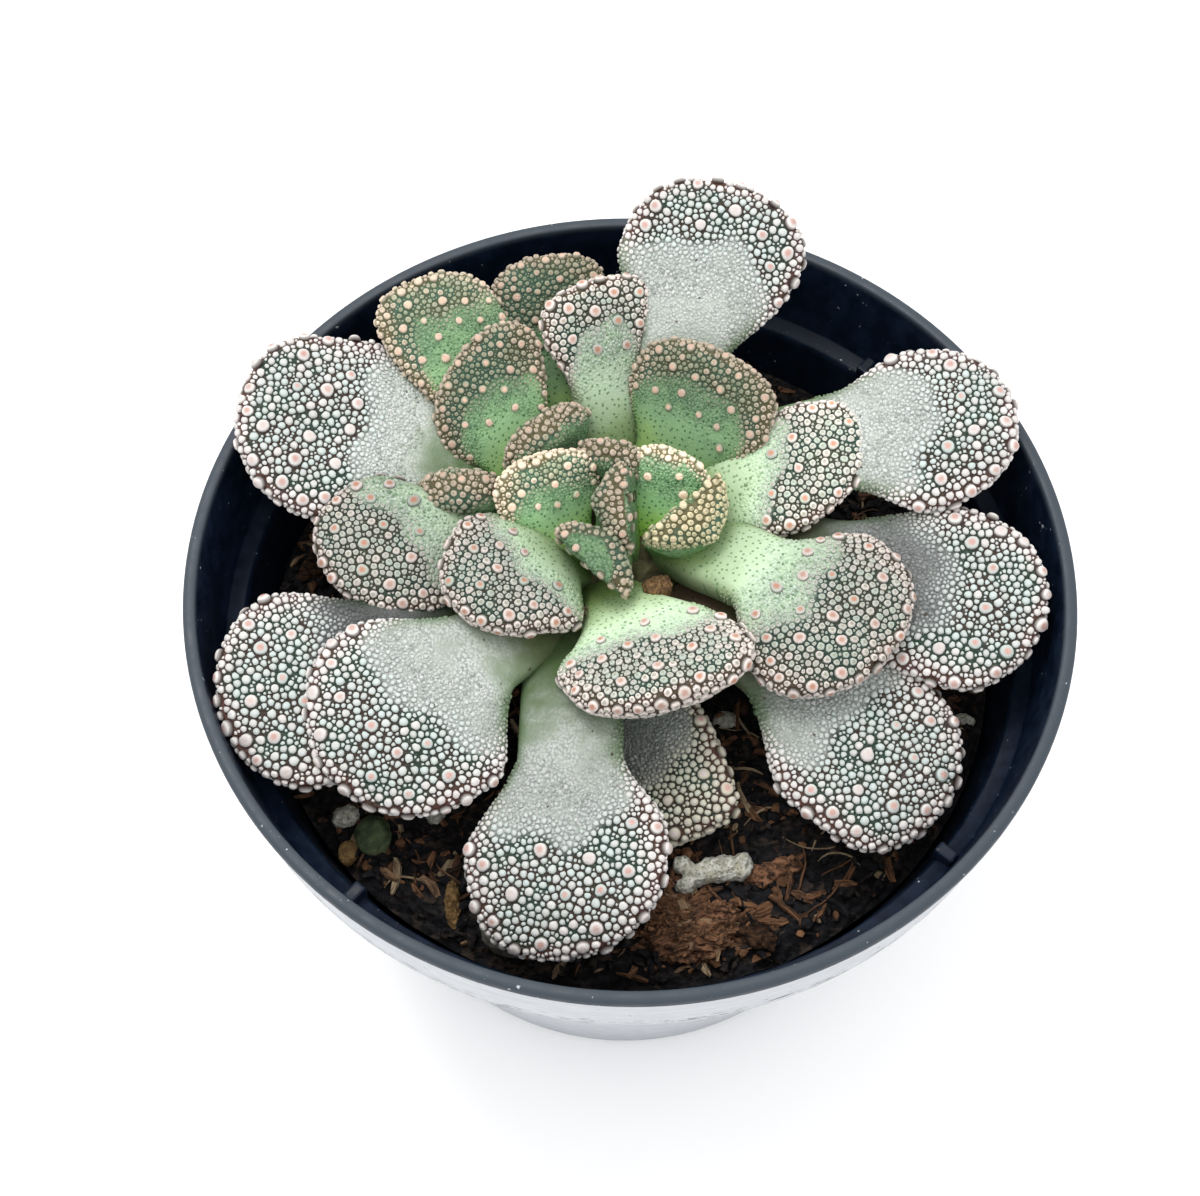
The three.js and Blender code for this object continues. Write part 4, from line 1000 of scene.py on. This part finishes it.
def add_fibre(builder, path, thickness, tone, sides=5):
    """A thin root or fibre along a path of points."""
    tangent = unit(np.gradient(path, axis=0))
    side = unit(np.cross(tangent, (0.3, 0.2, 1)))
    up = np.cross(side, tangent)
    n = len(path)
    taper = 1 - 0.7 * np.abs(np.linspace(-1, 1, n)) ** 3
    theta = ring_angles(sides)[:, None]
    ring = side[:, None, :] * np.cos(theta) + up[:, None, :] * np.sin(theta)
    rings = path[:, None, :] + ring * (thickness * taper)[:, None, None]
    distance = np.concatenate([[0], np.cumsum(np.linalg.norm(np.diff(path, axis=0), axis=1))])
    builder.add_tube(rings, flip=True, tone=tone, along=np.repeat(distance, sides) + path[0, 0],
                     across=np.tile(np.cos(theta[:, 0]) * thickness, n))


def ico_points(subdivisions):
    bpy.ops.mesh.primitive_ico_sphere_add(subdivisions=subdivisions, radius=1)
    ball = bpy.context.object
    mesh = ball.data
    points = np.array([v.co[:] for v in mesh.vertices])
    faces = np.array([p.vertices[:] for p in mesh.polygons])
    bpy.data.objects.remove(ball)
    bpy.data.meshes.remove(mesh)
    return points, faces


def build_compost():
    rng = np.random.default_rng(COMPOST_SEED)
    builder = Builder("tone", "along", "across")

    # the lumpy body
    foot, rise = (BED_FOOT_RADIUS, BED_FOOT), (BED_RADIUS - BED_FOOT_RADIUS, BED_EDGE - BED_FOOT)
    profile = [(foot[0] + rise[0] * share, foot[1] + rise[1] * share) for share in (0, 0.33, 0.66)]
    profile += [(radius, 0) for radius in BED_RADIUS * (1 - np.linspace(0, 1, BED_ROWS) ** 1.1 * 0.999)]
    points = turned(profile, BED_SIDES)
    top = points[3 * BED_SIDES:]
    top[:, 2] = soil_height(top[:, 0], top[:, 1]) + 0.18 * rng.normal(size=len(top))
    tone = np.concatenate([np.zeros(3 * BED_SIDES), 0.3 * rng.random(len(top)) ** 2])
    builder.add(points, grid_quads(len(profile), BED_SIDES), tone=tone, along=points[:, 0], across=points[:, 1])
    builder.triangles.append(fan(0, BED_SIDES, builder.count, flip=True))
    builder.triangles.append(fan(len(points) - BED_SIDES, BED_SIDES, builder.count + 1))
    builder.add([(0, 0, BED_FOOT), on_soil(0, 0, 0)])

    # chips of bark and coir
    for _ in range(CHIPS):
        radius, x, y = random_spot(rng, CHIP_REACH)
        if radius < 15 and rng.random() < 0.7:
            continue
        length = rng.uniform(1.1, 3) if rng.random() < 0.85 else rng.uniform(3, 4.8)
        length = min(length, 1.2 + 2 * (CHIP_END - radius))
        spot = on_soil(x, y, rng.uniform(-0.2, 0.35))
        pick = rng.random()
        tone = 0.25 * rng.random() if pick < 0.6 else rng.uniform(*((0.35, 0.6) if pick < 0.93 else (0.75, 1)))
        add_splinter(builder, rng, spot, length, rng.uniform(0.25, 0.95), rng.uniform(0.25, 0.6),
                     rng.uniform(0, pi * 2), rng.normal() * 0.3, tone)

    # torn flakes on and round the lump of bark
    (mid_x, mid_y), (lump_x, lump_y), (half_x, half_y) = BARK_LUMP
    for _ in range(FLAKES):
        x, y = mid_x + rng.normal() * 3, mid_y + rng.normal() * 1.9
        if hypot(x, y) > FLAKE_REACH:
            continue
        over = max(0, 1 - ((x - lump_x) / half_x) ** 2 - ((y - lump_y) / half_y) ** 2)
        add_splinter(builder, rng, on_soil(x, y, 0.2 + 1.75 * sqrt(over)), rng.uniform(1, 3.4),
                     rng.uniform(0.4, 1.3), rng.uniform(0.2, 0.45), rng.normal() * 0.6 + 0.3, rng.normal() * 0.25,
                     rng.uniform(0.42, 0.8))

    # crumbs
    ball, faces = ico_points(1)
    for _ in range(CRUMBS):
        _, x, y = random_spot(rng, CRUMB_REACH)
        size = rng.uniform(0.25, 0.85)
        shape = ball * (size * rng.uniform(0.7, 1.2, 3)) * rng.uniform(0.75, 1.2, (len(ball), 1))
        tone = 0.25 * rng.random() if rng.random() < 0.8 else 0.5
        builder.add(shape + on_soil(x, y, size * 0.4), (), faces, tone=tone, along=x * 3, across=y * 3)

    # fibres
    for _ in range(FIBRES):
        spots = [np.array(random_spot(rng, FIBRE_REACH)[1:])]
        heading = rng.uniform(0, 2 * pi)
        curl = rng.normal() * 0.16
        step = rng.uniform(3, 9) / FIBRE_STEPS
        while len(spots) < FIBRE_STEPS:
            heading += curl + rng.normal() * 0.12
            spot = spots[-1] + step * np.array([cos(heading), sin(heading)])
            if hypot(*spot) > FIBRE_END:
                break
            spots.append(spot)
        if len(spots) < 5:
            continue
        spots = np.array(spots)
        lift = 0.5 * np.sin(np.linspace(0, pi, len(spots))) - 0.05
        heights = soil_height(spots[:, 0], spots[:, 1]) + 0.12 + lift * rng.uniform(0.3, 1.3)
        tone = rng.choice([0.45, 0.55, 0.75, 0.95])
        add_fibre(builder, np.column_stack([spots, heights]), rng.uniform(0.07, 0.17), tone)

    place(builder.build("compost_fine", compost_material(), smooth=False), "soil")


def blob(name, material, voxel, rough, length, balls, seed):
    """Ellipsoids merged by a voxel remesh and roughened."""
    builder = Builder()
    ball, faces = ico_points(3)
    for centre, half, turn in balls:
        c, s = cos(radians(turn)), sin(radians(turn))
        spin = np.array([[c, -s, 0], [s, c, 0], [0, 0, 1]])
        builder.add((ball * half) @ spin.T + centre, (), faces)
    piece = builder.build(name, material)
    remesh = piece.modifiers.new("join", "REMESH")
    remesh.mode = "VOXEL"
    remesh.voxel_size = voxel * MM
    remesh.use_smooth_shade = True
    apply_modifiers(piece)
    mesh = piece.data
    points, normals = np.array([(v.co, v.normal) for v in mesh.vertices]).transpose(1, 0, 2)
    points = points / MM
    shift = rough * (0.6 * waves(points, length, seed) + 0.4 * waves(points, length * 0.4, seed + 1))
    points += normals * shift[:, None]
    mesh.vertices.foreach_set("co", (points * MM).ravel())
    mesh.update()
    return piece


def build_bits():
    materials = {name: stone_material(name, *look) for name, look in STONES.items()}
    materials.update((name, bark_material(name, *look)) for name, look in BARKS.items())
    for i, (name, (slot, material, *shape)) in enumerate(BITS.items()):
        place(blob(name + "_fine", materials[material], *shape, BITS_SEED + 3 * i), name)


def build_stem():
    balls = [(STEM_CENTRE, tuple(0.97 * v for v in STEM_SIZE), 0)]
    place(blob("stem_fine", stem_material(), 0.4, 0.3, 3, balls, STEM_SEED), "stem")


def build_light(name, position, size, watts, colour):
    light = bpy.data.lights.new(name, "AREA")
    light.shape = "DISK"
    light.size = size
    light.energy = watts
    light.color = colour
    lamp = link(bpy.data.objects.new(name, light))
    aim = (Vector((0, 0, 0.05)) - Vector(position)).to_track_quat("-Z", "Y")
    lamp.matrix_world = Matrix.Translation(position) @ aim.to_matrix().to_4x4()


def build_stage():
    half = 2.5
    mesh = bpy.data.meshes.new("floor")
    mesh.from_pydata([(-half, -half, 0), (half, -half, 0), (half, half, 0), (-half, half, 0)], [], [(0, 1, 2, 3)])
    s = Shader("floor_white", 0.1)
    s.principled.inputs["Base Color"].default_value = (0.955, 0.955, 0.96, 1)
    s.principled.inputs["Roughness"].default_value = 0.7
    mesh.materials.append(s.material)
    link(bpy.data.objects.new("floor", mesh))

    world = bpy.data.worlds.new("studio")
    bpy.context.scene.world = world
    world.use_nodes = True
    background = world.node_tree.nodes["Background"]
    background.inputs["Color"].default_value = (1, 1, 1, 1)
    background.inputs["Strength"].default_value = 1.25
    build_light("key", (-0.16, 0.2, 0.66), 0.3, 2.2, (1, 0.99, 0.97))
    build_light("fill", (0.4, -0.5, 0.5), 0.5, 0.4, (0.97, 0.98, 1))


def build_camera():
    axes = Matrix.Rotation(radians(90 - CAMERA_ELEVATION), 4, "X")
    position = axes @ Vector((0, 0, CAMERA_DISTANCE)) + Vector((0, 0, POT_HEIGHT * MM))
    for degrees, axis in ((CAMERA_YAW, "Y"), (CAMERA_PITCH, "X"), (CAMERA_ROLL, "Z")):
        axes = axes @ Matrix.Rotation(radians(degrees), 4, axis)
    camera = bpy.data.cameras.new("camera")
    camera.sensor_fit = "HORIZONTAL"
    camera.sensor_width = SENSOR_WIDTH
    camera.lens = SENSOR_WIDTH * FOCAL_PIXELS / PHOTO_WIDTH
    camera.clip_start = 0.01
    viewer = link(bpy.data.objects.new("camera", camera))
    viewer.matrix_world = Matrix.Translation(position) @ axes
    bpy.context.scene.camera = viewer


build_camera()
build_stage()
build_leaves()
build_stem()
build_compost()
build_bits()
build_pot()
bpy.context.scene.view_settings.view_transform = "Standard"
